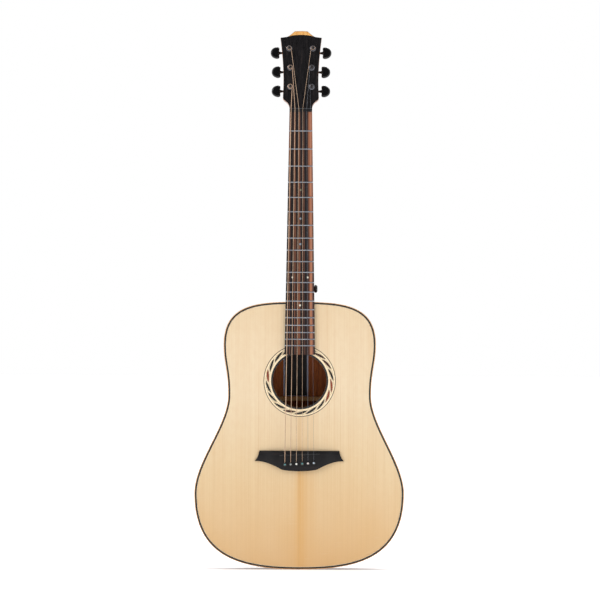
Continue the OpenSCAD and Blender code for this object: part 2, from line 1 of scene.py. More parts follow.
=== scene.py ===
"""Looks of a steel-string acoustic guitar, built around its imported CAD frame.

Metres, +Z up the neck, the soundboard faces -Y, +X is the treble side.
"""
import random
from math import asin, atan2, copysign, cos, hypot, pi, radians, sin, sqrt, tan

import bmesh
import bpy
from mathutils import Matrix, Vector


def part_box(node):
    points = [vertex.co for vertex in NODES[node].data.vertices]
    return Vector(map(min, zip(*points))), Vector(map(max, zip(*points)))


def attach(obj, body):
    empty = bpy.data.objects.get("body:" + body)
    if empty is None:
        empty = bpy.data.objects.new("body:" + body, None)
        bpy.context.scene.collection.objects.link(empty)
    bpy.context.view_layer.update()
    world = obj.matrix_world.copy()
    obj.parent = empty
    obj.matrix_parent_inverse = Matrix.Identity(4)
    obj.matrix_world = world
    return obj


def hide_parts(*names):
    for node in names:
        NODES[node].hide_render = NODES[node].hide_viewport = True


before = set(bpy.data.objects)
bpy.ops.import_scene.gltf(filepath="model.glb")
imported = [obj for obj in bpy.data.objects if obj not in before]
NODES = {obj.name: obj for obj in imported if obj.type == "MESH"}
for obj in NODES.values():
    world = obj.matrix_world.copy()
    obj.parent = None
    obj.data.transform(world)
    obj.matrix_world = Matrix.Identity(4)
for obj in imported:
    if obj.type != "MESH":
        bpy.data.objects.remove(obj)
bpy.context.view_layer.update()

MM = 0.001
RNG = random.Random(14)
SIX = range(1, 7)  # strings, pins and tuning machines, 1 on the treble side

# ---- places taken from the frame

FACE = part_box("soundboard")[0].y
NUT_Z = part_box("nut")[0].z
HEAD_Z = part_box("nut")[1].z
BOARD_END_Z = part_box("fingerboard")[0].z
BACK_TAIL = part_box("back_binding")[1].y
HEAD_TILT = radians(8)
BACK_SLOPE = 20 / 508
HOLE_Z = 358.2 * MM
SCALE_LEN = 648 * MM

# ---- curves


def cubic(a, b, c, d, t):
    """A point on the cubic curve from a to d with handles b and c."""
    return tuple((1 - t) ** 3 * p + 3 * (1 - t) ** 2 * t * q + 3 * (1 - t) * t * t * r + t ** 3 * s
                 for p, q, r, s in zip(a, b, c, d))


def cubic_slope(a, b, c, d, t):
    return tuple((1 - t) ** 2 * (q - p) + 2 * (1 - t) * t * (r - q) + t * t * (s - r)
                 for p, q, r, s in zip(a, b, c, d))


def curve(a, b, c, d, steps, first=0):
    return [cubic(a, b, c, d, i / steps) for i in range(first, steps + 1)]


def smooth(low, high, x):
    """0 below low, 1 above high, and a smooth ramp between."""
    t = min(1.0, max(0.0, (x - low) / (high - low)))
    return t * t * (3 - 2 * t)


def lerp(a, b, t):
    return a + (b - a) * t


def quarter(steps, first=0, last=0):
    """Angles of a quarter turn, leaving out the first and last few."""
    return [pi / 2 * i / steps for i in range(first, steps + 1 - last)]


BODY_CURVES = [
    ((0, 508), (77, 508), (144.5, 506), (144.5, 427)),
    ((144.5, 427), (144.5, 390), (135.7, 379), (135.7, 330)),
    ((135.7, 330), (135.7, 274), (199, 203), (199, 144)),
    ((199, 144), (199, 16), (102, 0), (0, 0)),
]


def body_loop(steps=44):
    """The body's outline, clockwise from the neck joint: (x, z, inward x, inward z, length so far)."""
    right = []
    for a, b, c, d in BODY_CURVES:
        for i in range(steps):
            x, z = cubic(a, b, c, d, i / steps)
            sx, sz = cubic_slope(a, b, c, d, i / steps)
            size = hypot(sx, sz)
            right.append((x * MM, z * MM, sz / size, -sx / size))
    right.append((0.0, 0.0, 0.0, 1.0))
    left = [(-x, z, -nx, nz) for x, z, nx, nz in reversed(right[1:-1])]
    loop, run, last = [], 0.0, None
    for x, z, nx, nz in right + left:
        run += hypot(x - last[0], z - last[1]) if last else 0.0
        last = (x, z)
        loop.append((x, z, nx, nz, run))
    return loop


LOOP = body_loop()
HALF = len(LOOP) // 2


def front_y(z, depth):
    """y at some depth behind the soundboard's face, which is upright, so z makes no difference."""
    return FACE + depth


def back_y(z, depth):
    """y at some depth inside the back's outer plane."""
    return BACK_TAIL - z * BACK_SLOPE - depth


def head_point(x, y, z):
    """A point in the headstock's frame (+z along it, -y out of its face) as a row point."""
    return Vector((x, FACE + y * cos(HEAD_TILT) + z * sin(HEAD_TILT),
                   HEAD_Z - y * sin(HEAD_TILT) + z * cos(HEAD_TILT)))


# ---- meshes


def in_scene(name, data):
    """Puts a mesh, lamp or camera in the scene as an object."""
    obj = bpy.data.objects.new(name, data)
    bpy.context.scene.collection.objects.link(obj)
    return obj


def outward(mesh):
    """Joins points that meet and turns every face outwards."""
    work = bmesh.new()
    work.from_mesh(mesh)
    bmesh.ops.remove_doubles(work, verts=work.verts, dist=1e-7)
    bmesh.ops.recalc_face_normals(work, faces=work.faces)
    work.to_mesh(mesh)
    work.free()


def make(name, shape, material, slot, node=None, body="guitar", sharp=32, grain=None):
    """A finished piece on its body, from (verts, faces), with the CAD node it stands for; slot is not used.

    Its smooth shading breaks at edges over sharp degrees. grain is a vector for each point,
    which the material reads.
    """
    verts, faces = shape
    mesh = bpy.data.meshes.new(name)
    mesh.from_pydata([tuple(v) for v in verts], [], faces)
    if grain:
        store = mesh.attributes.new("grain", "FLOAT_VECTOR", "POINT")
        store.data.foreach_set("vector", [c for g in grain for c in g])
    obj = in_scene(name, mesh)
    outward(mesh)
    mesh.polygons.foreach_set("use_smooth", [True] * len(mesh.polygons))
    mesh.set_sharp_from_angle(angle=radians(sharp))
    mesh.materials.append(material)
    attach(obj, body)
    if node:
        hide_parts(node)
    return obj


def loft(rings, closed=False, caps=True):
    """Vertices and faces of a skin over rings of the same number of points."""
    count, size = len(rings), len(rings[0])
    verts = [p for ring in rings for p in ring]
    faces = []
    for j in range(count if closed else count - 1):
        a, b = j * size, ((j + 1) % count) * size
        faces += [(a + i, b + i, b + (i + 1) % size, a + (i + 1) % size) for i in range(size)]
    if caps and not closed:
        faces.append(tuple(range(size)))
        faces.append(tuple(range((count - 1) * size, count * size)))
    return verts, faces


def merged(parts):
    """Several (verts, faces) pairs as one."""
    verts, faces = [], []
    for more_verts, more_faces in parts:
        base = len(verts)
        verts += more_verts
        faces += [tuple(base + i for i in face) for face in more_faces]
    return verts, faces


def turned(profile, place, sides=40):
    """A lathe shape: profile is (radius, distance along the axis), place maps (u, v, along) to a point."""
    rings = [[place(r * cos(2 * pi * i / sides), r * sin(2 * pi * i / sides), t)
              for i in range(sides)] for r, t in profile]
    return loft(rings)


def tube(path, radius, sides):
    """A round tube along a path of points, its frame carried along without twist."""
    path = [Vector(p) for p in path]
    rings, side = [], None
    for i, p in enumerate(path):
        ahead = (path[min(i + 1, len(path) - 1)] - path[max(i - 1, 0)]).normalized()
        side = ahead.cross(Vector((1, 0.1, 0.2))) if side is None else side - side.dot(ahead) * ahead
        side.normalize()
        other = ahead.cross(side)
        rings.append([p + radius * (cos(a) * side + sin(a) * other)
                      for a in (2 * pi * k / sides for k in range(sides))])
    return loft(rings)


def prism(outline, to_point, low, high):
    """A flat outline of (u, v) pairs made solid between two heights; to_point maps (u, v, height)."""
    return loft([[to_point(u, v, low) for u, v in outline], [to_point(u, v, high) for u, v in outline]])


def front_point(x, z, height):
    """A point at some height in front of the soundboard's face."""
    return Vector((x, FACE - height, z))


def front_mm(x, z, height):
    return front_point(x * MM, z * MM, height * MM)


def upright(x, z):
    """Stands a lathe shape on the soundboard at x and z; all in mm."""
    return lambda u, v, h: front_mm(x + u, z + v, h)


def mirrored(right, *top):
    """The points of the right half, those at the top, and the right half's mirror image back down."""
    return right + list(top) + [(-x, z) for x, z in reversed(right)]


def bevel(obj, width):
    """Rounds the sharp edges and keeps the flat faces flat."""
    rounding = obj.modifiers.new("rounding", "BEVEL")
    rounding.width = width
    rounding.segments = 3
    rounding.limit_method = "ANGLE"
    rounding.angle_limit = radians(35)
    rounding.miter_outer = "MITER_ARC"
    flat = obj.modifiers.new("flat", "WEIGHTED_NORMAL")
    flat.keep_sharp = False
    flat.weight = 90
    obj.data.polygons.foreach_set("use_smooth", [True] * len(obj.data.polygons))
    obj.data.set_sharp_from_angle(angle=pi)


def carve(obj, shape):
    """Cuts a closed shape out of an object, which keeps its materials."""
    verts, faces = shape
    mesh = bpy.data.meshes.new("cutter")
    mesh.from_pydata([tuple(v) for v in verts], [], faces)
    outward(mesh)
    cutter = in_scene("cutter", mesh)
    cut = obj.modifiers.new("cut", "BOOLEAN")
    cut.operation = "DIFFERENCE"
    cut.solver = "EXACT"
    cut.use_self = True
    cut.object = cutter
    wear = list(obj.data.materials)
    carved = bpy.data.meshes.new_from_object(obj.evaluated_get(bpy.context.evaluated_depsgraph_get()))
    obj.modifiers.clear()
    obj.data = carved
    carved.materials.clear()
    for material in wear:
        carved.materials.append(material)
    bpy.data.objects.remove(cutter)


def box_shape(low, high):
    x0, y0, z0 = low
    x1, y1, z1 = high
    verts = [Vector(p) for p in ((x0, y0, z0), (x1, y0, z0), (x1, y1, z0), (x0, y1, z0),
                                 (x0, y0, z1), (x1, y0, z1), (x1, y1, z1), (x0, y1, z1))]
    faces = [(0, 1, 2, 3), (4, 5, 6, 7), (0, 1, 5, 4), (1, 2, 6, 5), (2, 3, 7, 6), (3, 0, 4, 7)]
    return verts, faces


# ---- materials


def rgb(red, green, blue):
    """An sRGB colour in 0 to 255 as linear RGBA."""
    def linear(c):
        c /= 255
        return c / 12.92 if c <= 0.04045 else ((c + 0.055) / 1.055) ** 2.4
    return (linear(red), linear(green), linear(blue), 1.0)


class Nodes:
    """Shader nodes of a material or of the world, added one at a time."""

    def __init__(self, tree, shader):
        self.tree = tree
        self.shader = tree.nodes[shader]

    def add(self, kind, inputs=None, **settings):
        node = self.tree.nodes.new(kind)
        for key, value in settings.items():
            setattr(node, key, value)
        for key, value in (inputs or {}).items():
            if isinstance(value, bpy.types.NodeSocket):
                self.tree.links.new(value, node.inputs[key])
            else:
                node.inputs[key].default_value = value
        return node

    def set(self, name, socket):
        self.tree.links.new(socket, self.shader.inputs[name])

    def here(self):
        """The point on the object, in metres."""
        return self.add("ShaderNodeTexCoord").outputs["Object"]

    def mapped(self, scale, vector=None, location=(0, 0, 0)):
        vector = self.here() if vector is None else vector
        node = self.add("ShaderNodeMapping", {"Vector": vector, "Scale": scale,
                                              "Location": location})
        return node.outputs["Vector"]

    def axes(self, vector=None):
        node = self.add("ShaderNodeSeparateXYZ", {"Vector": self.here() if vector is None else vector})
        return node.outputs["X"], node.outputs["Y"], node.outputs["Z"]

    def joined(self, x, y, z):
        return self.add("ShaderNodeCombineXYZ", {"X": x, "Y": y, "Z": z}).outputs["Vector"]

    def calc(self, operation, a, b=0.0):
        return self.add("ShaderNodeMath", {0: a, 1: b}, operation=operation).outputs["Value"]

    def times(self, a, b):
        return self.calc("MULTIPLY", a, b)

    def plus(self, a, b):
        return self.calc("ADD", a, b)

    def minus(self, a, b):
        return self.calc("SUBTRACT", a, b)

    def noise(self, vector, scale=1.0, detail=3.0, roughness=0.55, distortion=0.0):
        return self.add("ShaderNodeTexNoise", {"Vector": vector, "Scale": scale, "Detail": detail,
                                               "Roughness": roughness,
                                               "Distortion": distortion}).outputs["Fac"]

    def ramp(self, factor, *stops):
        node = self.add("ShaderNodeValToRGB", {"Fac": factor})
        elements = node.color_ramp.elements
        while len(elements) < len(stops):
            elements.new(0.5)
        for element, (place, colour) in zip(elements, stops):
            element.position = place
            element.color = colour
        return node.outputs["Color"]

    def even_ramp(self, factor, tones):
        """A ramp through sRGB tones, evenly spaced over the middle of a noise's range."""
        return self.ramp(factor, *[(0.3 + 0.4 * i / (len(tones) - 1), rgb(*tone))
                                   for i, tone in enumerate(tones)])

    def blend(self, factor, a, b, mode="MIX"):
        node = self.add("ShaderNodeMix", data_type="RGBA", blend_type=mode)
        for index, value in ((0, factor), (6, a), (7, b)):
            if isinstance(value, bpy.types.NodeSocket):
                self.tree.links.new(value, node.inputs[index])
            else:
                node.inputs[index].default_value = value
        return node.outputs[2]

    def range(self, value, low, high, to_low=0.0, to_high=1.0):
        return self.add("ShaderNodeMapRange", {
            "Value": value, "From Min": low, "From Max": high, "To Min": to_low, "To Max": to_high,
        }).outputs["Result"]

    def tint(self, tone, value, low, high, most, colour):
        """Lays an sRGB colour over the tone as the value climbs from low to high."""
        return self.blend(self.range(value, low, high, 0.0, most), tone, rgb(*colour))

    def band(self, value, centre, width):
        """1 where value is at centre, falling to 0 over about twice the width each way."""
        off = self.calc("DIVIDE", self.minus(value, centre), width)
        return self.calc("EXPONENT", self.times(self.times(off, off), -1.0))


class Surface(Nodes):
    """A material round one Principled shader."""

    def __init__(self, name, roughness=0.5, metallic=0.0, coat=0.0, coat_roughness=0.08, specular=0.5):
        self.material = bpy.data.materials.new(name)
        self.material.use_nodes = True
        super().__init__(self.material.node_tree, "Principled BSDF")
        for key, value in (("Roughness", roughness), ("Metallic", metallic), ("Coat Weight", coat),
                           ("Coat Roughness", coat_roughness), ("Specular IOR Level", specular)):
            self.shader.inputs[key].default_value = value

    def grain(self):
        """The grain that the piece's builder stored on its points."""
        return self.add("ShaderNodeAttribute", attribute_name="grain").outputs["Vector"]

    def colour(self, tone):
        self.set("Base Color", tone)

    def bump(self, height, strength, distance):
        inputs = {"Height": height, "Strength": strength, "Distance": distance}
        self.set("Normal", self.add("ShaderNodeBump", inputs).outputs["Normal"])

    def rough(self, value, low, high):
        self.set("Roughness", self.range(value, 0.25, 0.75, low, high))


WHITE = (1.0, 1.0, 1.0, 1.0)


def spruce_top():
    """Book-matched spruce: close straight grain, broad streaks, a warm streak by the seam, and painted shade
    towards the tail.
    """
    s = Surface("spruce top", roughness=0.38, coat=0.12, coat_roughness=0.22, specular=0.4)
    x, y, z = s.axes()
    off_seam = s.calc("ABSOLUTE", x)
    waver = s.noise(s.mapped((9, 1, 2.2), s.joined(off_seam, y, z)), detail=1)
    grain_x = s.plus(off_seam, s.times(waver, 0.006))
    grained = s.joined(grain_x, y, z)
    fine = s.noise(s.mapped((760, 1, 2.5), grained), detail=2, roughness=0.5)
    lines = s.noise(s.mapped((330, 1, 1.2), grained), detail=2, roughness=0.6)
    streaks = s.noise(s.mapped((62, 1, 0.9)), detail=3, roughness=0.6)
    clouds = s.noise(s.mapped((7, 1, 4), location=(3, 0, 5)), detail=2)
    # Painted shade: the tone is darker and more orange towards the tail, paler over the upper bout and a
    # little darker again at the neck.
    along = s.range(z, 0.0, 0.5)
    tone = s.ramp(along, (0.0, rgb(226, 178, 118)), (0.13, rgb(230, 187, 131)), (0.38, rgb(236, 205, 159)),
                  (0.66, rgb(244, 220, 184)), (0.85, rgb(243, 217, 180)), (1.0, rgb(238, 210, 170)))
    tone = s.tint(tone, fine, 0.5, 0.78, 0.34, (205, 158, 104))
    tone = s.tint(tone, lines, 0.52, 0.75, 0.25, (214, 166, 112))
    tone = s.tint(tone, streaks, 0.35, 0.7, 0.2, (224, 178, 124))
    tone = s.tint(tone, clouds, 0.35, 0.75, 0.22, (247, 225, 190))
    low_body = s.range(z, 0.165, 0.24, 1.0, 0.22)
    seam = s.times(s.band(s.minus(x, 0.003), 0.0, 0.009), low_body)
    wide = s.times(s.band(s.minus(x, 0.009), 0.0, 0.022), low_body)
    tone = s.blend(s.times(wide, s.range(streaks, 0.3, 0.6, 0.1, 0.5)), tone, rgb(228, 180, 118))
    tone = s.blend(s.times(seam, s.range(lines, 0.3, 0.6, 0.3, 0.8)), tone, rgb(226, 172, 104))
    joint = s.calc("LESS_THAN", s.calc("ABSOLUTE", s.plus(x, 0.0003)), 0.00022)
    tone = s.blend(s.times(joint, 0.45), tone, rgb(186, 134, 80))
    silk = s.noise(s.mapped((30, 1, 420)), detail=2, roughness=0.7)
    mottle = s.noise(s.mapped((95, 1, 60), location=(7, 0, 1)), detail=3, roughness=0.6)
    tone = s.tint(tone, mottle, 0.4, 0.7, 0.16, (226, 184, 134))
    tone = s.tint(tone, silk, 0.62, 0.8, 0.12, (250, 232, 202))
    s.colour(s.blend(1.0, tone, (0.883, 0.91, 0.941, 1.0), "MULTIPLY"))
    s.rough(lines, 0.34, 0.48)
    s.bump(fine, 0.06, 0.0002)
    return s.material


def hardwood(name, dark, mid, light, gloss=0.5, pores=0.5, figure=1.0, roughness=0.36, bent=False):
    """Mahogany-like wood: streaks, ribbon figure and short pores along z, or along a bent side."""
    s = Surface(name, roughness=roughness, coat=gloss, coat_roughness=0.07, specular=0.45)
    if bent:
        u, v, _ = s.axes(s.grain())
        place = s.joined(v, s.times(v, 0.5), u)
    else:
        place = s.here()
    x, y, z = s.axes(place)
    bend = s.times(s.noise(s.joined(s.times(x, 6), y, s.times(z, 3)), detail=1), 0.02)
    place = s.joined(s.plus(x, bend), y, z)
    grain = s.noise(s.mapped((210, 210, 3.0), place), detail=4, roughness=0.65)
    ribbon = s.noise(s.mapped((46, 46, 2.0), place), detail=2)
    cross = s.noise(s.mapped((16, 16, 40), place), detail=2, distortion=0.6)
    pore = s.noise(s.mapped((1500, 1500, 70), place), detail=1, roughness=0.4)
    dark, mid, light = rgb(*dark), rgb(*mid), rgb(*light)
    tone = s.ramp(grain, (0.28, dark), (0.5, mid), (0.74, light))
    tone = s.blend(s.range(ribbon, 0.3, 0.7, 0.0, 0.4 * figure), tone, light)
    tone = s.blend(s.range(cross, 0.45, 0.75, 0.0, 0.22 * figure), tone, dark)
    holes = s.range(pore, 0.62, 0.7, 0.0, pores)
    tone = s.blend(holes, tone, tuple(0.35 * c for c in dark[:3]) + (1.0,))
    s.colour(tone)
    s.rough(grain, roughness - 0.06, roughness + 0.12)
    s.bump(s.minus(grain, s.times(holes, 0.8)), 0.12, 0.00025)
    return s.material


def raw_spruce():
    """Unfinished brace wood."""
    s = Surface("brace spruce", roughness=0.75, specular=0.25)
    rings = s.noise(s.mapped((500, 500, 500)), detail=3, roughness=0.6)
    cloud = s.noise(s.mapped((30, 30, 30)), detail=2)
    tone = s.ramp(rings, (0.3, rgb(176, 128, 82)), (0.6, rgb(206, 162, 112)))
    s.colour(s.blend(s.range(cloud, 0.3, 0.7, 0.0, 0.3), tone, rgb(160, 108, 66)))
    s.bump(rings, 0.3, 0.0003)
    return s.material


def striped_board():
    """The fingerboard's striped ebony: black and brown bands, and an orange one on the treble side."""
    s = Surface("fingerboard wood", roughness=0.45, coat=0.04, coat_roughness=0.3, specular=0.25)
    x, y, z = s.axes()
    sway = s.times(s.noise(s.mapped((1, 1, 4.5)), detail=2), 0.006)
    lean = s.times(s.minus(z, 0.64), 0.004)
    flow = s.plus(s.plus(x, sway), lean)
    place = s.joined(flow, y, z)
    bands = s.noise(s.mapped((430, 60, 1.4), place), detail=2, roughness=0.55)
    fine = s.noise(s.mapped((900, 300, 7), place), detail=3, roughness=0.6)
    tone = s.ramp(bands, (0.38, rgb(14, 10, 14)), (0.49, rgb(30, 21, 23)), (0.56, rgb(84, 53, 41)),
                  (0.63, rgb(140, 88, 62)), (0.72, rgb(92, 60, 46)))
    edge = s.plus(s.times(s.minus(HEAD_Z, z), 0.0085), 0.0194)
    stripe = s.band(s.minus(s.plus(x, s.times(sway, 0.5)), edge), 0.0, 0.0027)
    orange = s.ramp(fine, (0.3, rgb(140, 80, 54)), (0.5, rgb(196, 126, 92)), (0.75, rgb(222, 168, 134)))
    tone = s.blend(s.times(stripe, 0.92), tone, orange)
    tone = s.tint(tone, fine, 0.45, 0.75, 0.5, (20, 14, 14))
    left = s.range(x, -0.019, -0.026, 0.0, 0.7)
    tone = s.blend(left, tone, rgb(26, 20, 22))
    s.colour(tone)
    s.rough(fine, 0.34, 0.55)
    s.bump(fine, 0.25, 0.0002)
    return s.material


def ebony(name, roughness, coat, along="Z", lift=1.0, specular=0.3):
    """Near-black wood with faint brown streaks."""
    s = Surface(name, roughness=roughness, coat=coat, coat_roughness=0.12, specular=specular)
    scale = (300, 300, 5) if along == "Z" else (5, 300, 300)
    grain = s.noise(s.mapped(scale), detail=4, roughness=0.62, distortion=0.2)
    broad = s.noise(s.mapped(tuple(c / 8 for c in scale)), detail=2)
    dark, mid, light = [rgb(*[c * lift for c in tone]) for tone in ((9, 8, 9), (18, 15, 17), (42, 33, 31))]
    tone = s.ramp(grain, (0.3, dark), (0.56, mid), (0.78, light))
    s.colour(s.blend(s.range(broad, 0.4, 0.7, 0.0, 0.5), tone, rgb(12, 10, 12)))
    s.rough(grain, roughness - 0.08, roughness + 0.14)
    s.bump(grain, 0.2, 0.0002)
    return s.material


def gloss_black(name, roughness, tint):
    """Moulded or lacquered black with fine scuffs and dust."""
    s = Surface(name, roughness=roughness, coat=0.3, coat_roughness=0.05, specular=0.35)
    scuffs = s.noise(s.mapped((900, 900, 900)), detail=4, roughness=0.7)
    smears = s.noise(s.mapped((60, 60, 60)), detail=3)
    s.colour(s.ramp(smears, (0.3, rgb(*tint)), (0.7, rgb(*[c * 1.6 for c in tint]))))
    s.rough(scuffs, roughness * 0.7, roughness * 1.6)
    s.bump(smears, 0.05, 0.0004)
    return s.material


def metal(name, light, dark, roughness, brushed=(1, 1, 1)):
    """Metal with polish marks; brushed gives the marks' stretch on each axis."""
    s = Surface(name, roughness=roughness, metallic=1.0)
    marks = s.noise(s.mapped(tuple(700 * c for c in brushed)), detail=4, roughness=0.65)
    stains = s.noise(s.mapped((90, 90, 90)), detail=3)
    s.colour(s.blend(s.range(stains, 0.35, 0.75), rgb(*light), rgb(*dark)))
    s.rough(marks, roughness * 0.7, roughness * 1.5)
    s.bump(marks, 0.08, 0.0001)
    return s.material


def winding(name, light, dark, pitch):
    """Wire wound round a core: ridges along the string, whose run is the grain attribute's y."""
    s = Surface(name, roughness=0.38, metallic=0.2)
    _, v, _ = s.axes(s.grain())
    ridge = s.calc("SINE", s.times(v, 2 * pi / pitch))
    wear = s.noise(s.mapped((400, 400, 60)), detail=3)
    light, dark = rgb(*light), rgb(*dark)
    tone = s.blend(s.range(wear, 0.3, 0.7), light, dark)
    # Painted shade: the valleys between the wraps are darkened.
    tone = s.blend(s.range(ridge, -1, 0.2, 0.45, 0.0), tone, tuple(0.25 * c for c in dark[:3]) + (1.0,))
    s.colour(tone)
    s.rough(wear, 0.25, 0.42)
    s.bump(ridge, 0.6, 0.00006)
    return s.material


def inlay(name, tones, scale=(400, 60, 400), roughness=0.3, coat=0.25):
    """Inlaid wood or fibre under lacquer, and the grey of the painted highlight strip on the nut's top edge.
    """
    s = Surface(name, roughness=roughness, coat=coat, coat_roughness=0.12)
    fibre = s.noise(s.mapped(scale), detail=3, roughness=0.6)
    s.colour(s.even_ramp(fibre, tones))
    s.rough(fibre, roughness - 0.05, roughness + 0.1)
    s.bump(fibre, 0.05, 0.0001)
    return s.material


def shell(name, tones, seed):
    """Polished shell: swirled bands of colour."""
    s = Surface(name, roughness=0.12, coat=0.6, coat_roughness=0.04)
    swirl = s.noise(s.mapped((420, 420, 420), location=(seed, seed * 2, 0)), detail=4, roughness=0.7,
                    distortion=2.2)
    s.colour(s.even_ramp(swirl, tones))
    s.rough(swirl, 0.08, 0.2)
    return s.material


def label_paper():
    """The label inside the body: dark paper with a pale border, wider at its sides, and no words."""
    low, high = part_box("label")
    s = Surface("label paper", roughness=0.6, specular=0.3)
    x, _, z = s.axes()
    fibre = s.noise(s.mapped((900, 900, 900)), detail=4, roughness=0.7)
    middle_x, half_x = (low.x + high.x) / 2, (high.x - low.x) / 2
    middle_z, half_z = (low.z + high.z) / 2, (high.z - low.z) / 2
    in_x = s.minus(half_x, s.calc("ABSOLUTE", s.minus(x, middle_x)))
    in_z = s.minus(half_z, s.calc("ABSOLUTE", s.minus(z, middle_z)))
    border = s.calc("MAXIMUM", s.calc("LESS_THAN", in_x, 0.0028), s.calc("LESS_THAN", in_z, 0.0009))
    tone = s.ramp(fibre, (0.3, rgb(20, 17, 18)), (0.7, rgb(38, 32, 32)))
    s.colour(s.blend(border, tone, rgb(176, 182, 204)))
    s.bump(fibre, 0.2, 0.0002)
    return s.material


SPRUCE = spruce_top()
BODY_TONES = (52, 21, 9), (90, 40, 19), (134, 68, 34)
BACK_WOOD = hardwood("back mahogany", *BODY_TONES, gloss=0.4)
BACK_INSIDE = hardwood("inside of the back", (124, 58, 23), (168, 88, 39), (200, 120, 60), gloss=0.0,
                       roughness=0.75, figure=0.6)
SIDE_WOOD = hardwood("side mahogany", *BODY_TONES, gloss=0.4, bent=True)
NECK_WOOD = hardwood("neck mahogany", (96, 52, 28), (140, 82, 48), (176, 114, 70), gloss=0.2,
                     roughness=0.42, figure=0.7)
BLOCK_WOOD = hardwood("block wood", (116, 76, 48), (156, 108, 70), (190, 144, 98), gloss=0.0,
                      roughness=0.7)
LINING_WOOD = hardwood("lining wood", (150, 108, 70), (184, 140, 96), (210, 172, 126), gloss=0.0,
                       roughness=0.75, pores=0.2)
HEAD_WOOD = hardwood("headstock wood", (98, 54, 29), (142, 84, 49), (178, 116, 71), gloss=0.3,
                     roughness=0.38, figure=0.6)
BINDING_WOOD = inlay("binding wood", [(176, 118, 58), (206, 152, 88), (226, 182, 122)],
                     (240, 240, 240))
TIP_WOOD = inlay("tip wood", [(196, 128, 62), (226, 166, 92), (240, 194, 124)], (500, 500, 30))
BRACE_WOOD = raw_spruce()
BOARD_WOOD = striped_board()
BRIDGE_WOOD = ebony("bridge ebony", 0.42, 0.03, along="X", lift=1.05, specular=0.25)
VENEER_WOOD = ebony("headstock veneer", 0.3, 0.15)
CAP_WOOD = ebony("heel cap ebony", 0.3, 0.3)
NUT_BLACK = gloss_black("nut black", 0.3, (5, 5, 8))
BUTTON_BLACK = gloss_black("button black", 0.12, (6, 6, 7))
PIN_BLACK = gloss_black("pin black", 0.2, (4, 4, 5))
HOUSING_BLACK = gloss_black("housing black", 0.3, (20, 20, 22))
STRAP_BLACK = gloss_black("strap button black", 0.2, (6, 6, 7))
BLACK_FIBRE = inlay("black fibre", [(12, 10, 11), (22, 19, 20), (42, 37, 38)],
                    (200, 200, 200), 0.4, 0.05)
CREAM_WOOD = inlay("cream inlay", [(232, 204, 158), (244, 222, 184), (250, 234, 204)])
GREY_LINE = inlay("grey line", [(34, 30, 30), (56, 50, 48), (80, 72, 70)], coat=0.1)
# The grey of a strip that stands in for a painted highlight on the nut's top edge.
NUT_HIGHLIGHT_GREY = inlay("nut highlight grey", [(92, 94, 98), (122, 126, 132), (150, 154, 160)])
LEAF_BLACK = inlay("leaf black", [(4, 3, 3), (10, 7, 6), (26, 15, 11)], coat=0.02)
LEAF_BROWN = inlay("leaf brown", [(26, 12, 8), (58, 24, 14), (88, 42, 26)], coat=0.05)
LEAF_RED = inlay("leaf red", [(84, 30, 14), (128, 52, 26), (160, 78, 44)], coat=0.05)
LABEL_PAPER = label_paper()
FRET_METAL = metal("fret wire", (168, 172, 180), (132, 136, 144), 0.24, (0.3, 1, 1))
STEEL = metal("plain steel", (138, 142, 150), (104, 106, 112), 0.32, (1, 1, 0.2))
ROD_STEEL = metal("rod steel", (126, 126, 130), (88, 86, 88), 0.42)
BUSHING_METAL = metal("bushing metal", (104, 104, 110), (62, 62, 66), 0.22)
POST_METAL = metal("post metal", (84, 80, 80), (48, 45, 45), 0.24)
SCREW_METAL = metal("screw steel", (168, 168, 170), (120, 118, 118), 0.3)
BRONZE_FINE = winding("bronze fine winding", (228, 196, 168), (192, 160, 132), 0.00022)
BRONZE = winding("bronze winding", (228, 192, 162), (192, 156, 128), 0.0004)
DOT_PEARL = shell("dot pearl", [(190, 184, 160), (226, 222, 204), (242, 238, 222)], 1)
DOT_DIM = shell("dot dim shell", [(84, 82, 66), (116, 112, 88), (140, 134, 104)], 2)
DOT_BLUE = shell("dot blue shell", [(96, 108, 120), (140, 152, 162), (178, 186, 192)], 3)

# ---- body


def paint(material, *nodes):
    """Gives CAD nodes their material."""
    for node in nodes:
        NODES[node].data.materials.clear()
        NODES[node].data.materials.append(material)


def edge_sweep(name, profile, y_of, material, slot, node=None):
    """Sweeps (inset, depth) pairs, in mm, along the body's outline; its grain follows the outline."""
    rings, grain = [], []
    for x, z, nx, nz, run in LOOP:
        ring = []
        for inset, depth in profile:
            place_z = z + nz * inset * MM
            ring.append(Vector((x + nx * inset * MM, y_of(place_z, depth * MM), place_z)))
            grain.append((run, ring[-1].y, 0.0))
        rings.append(ring)
    make(name, loft(rings, closed=True), material, slot, node, sharp=40, grain=grain)


def corner(radius, steps=5):
    """A rounded outer edge, from the side round to the face."""
    return [(radius * (1 - cos(a)), radius * (1 - sin(a))) for a in quarter(steps)]


def strip(near, far):
    """A thin line let into the face, between two insets from the outline."""
    proud, deep = -0.04, 1.4
    return [(near, deep), (near, proud), (far, proud), (far, deep)]


for edge, radius, y_of in (("top", 1.1, front_y), ("back", 1.3, back_y)):
    edge_sweep(edge + "_binding_strip", [(0, 5)] + corner(radius) + [(2.2, 0), (2.2, 5)], y_of,
               BINDING_WOOD, "binding_wood", edge + "_binding")
edge_sweep("black_purfling", strip(1.2, 4.3), front_y, BLACK_FIBRE, "purfling_black", "top_purfling")
edge_sweep("light_purfling", strip(4.3, 4.8), front_y, CREAM_WOOD, "binding_wood")


MORTISE_HALF = 14 * MM


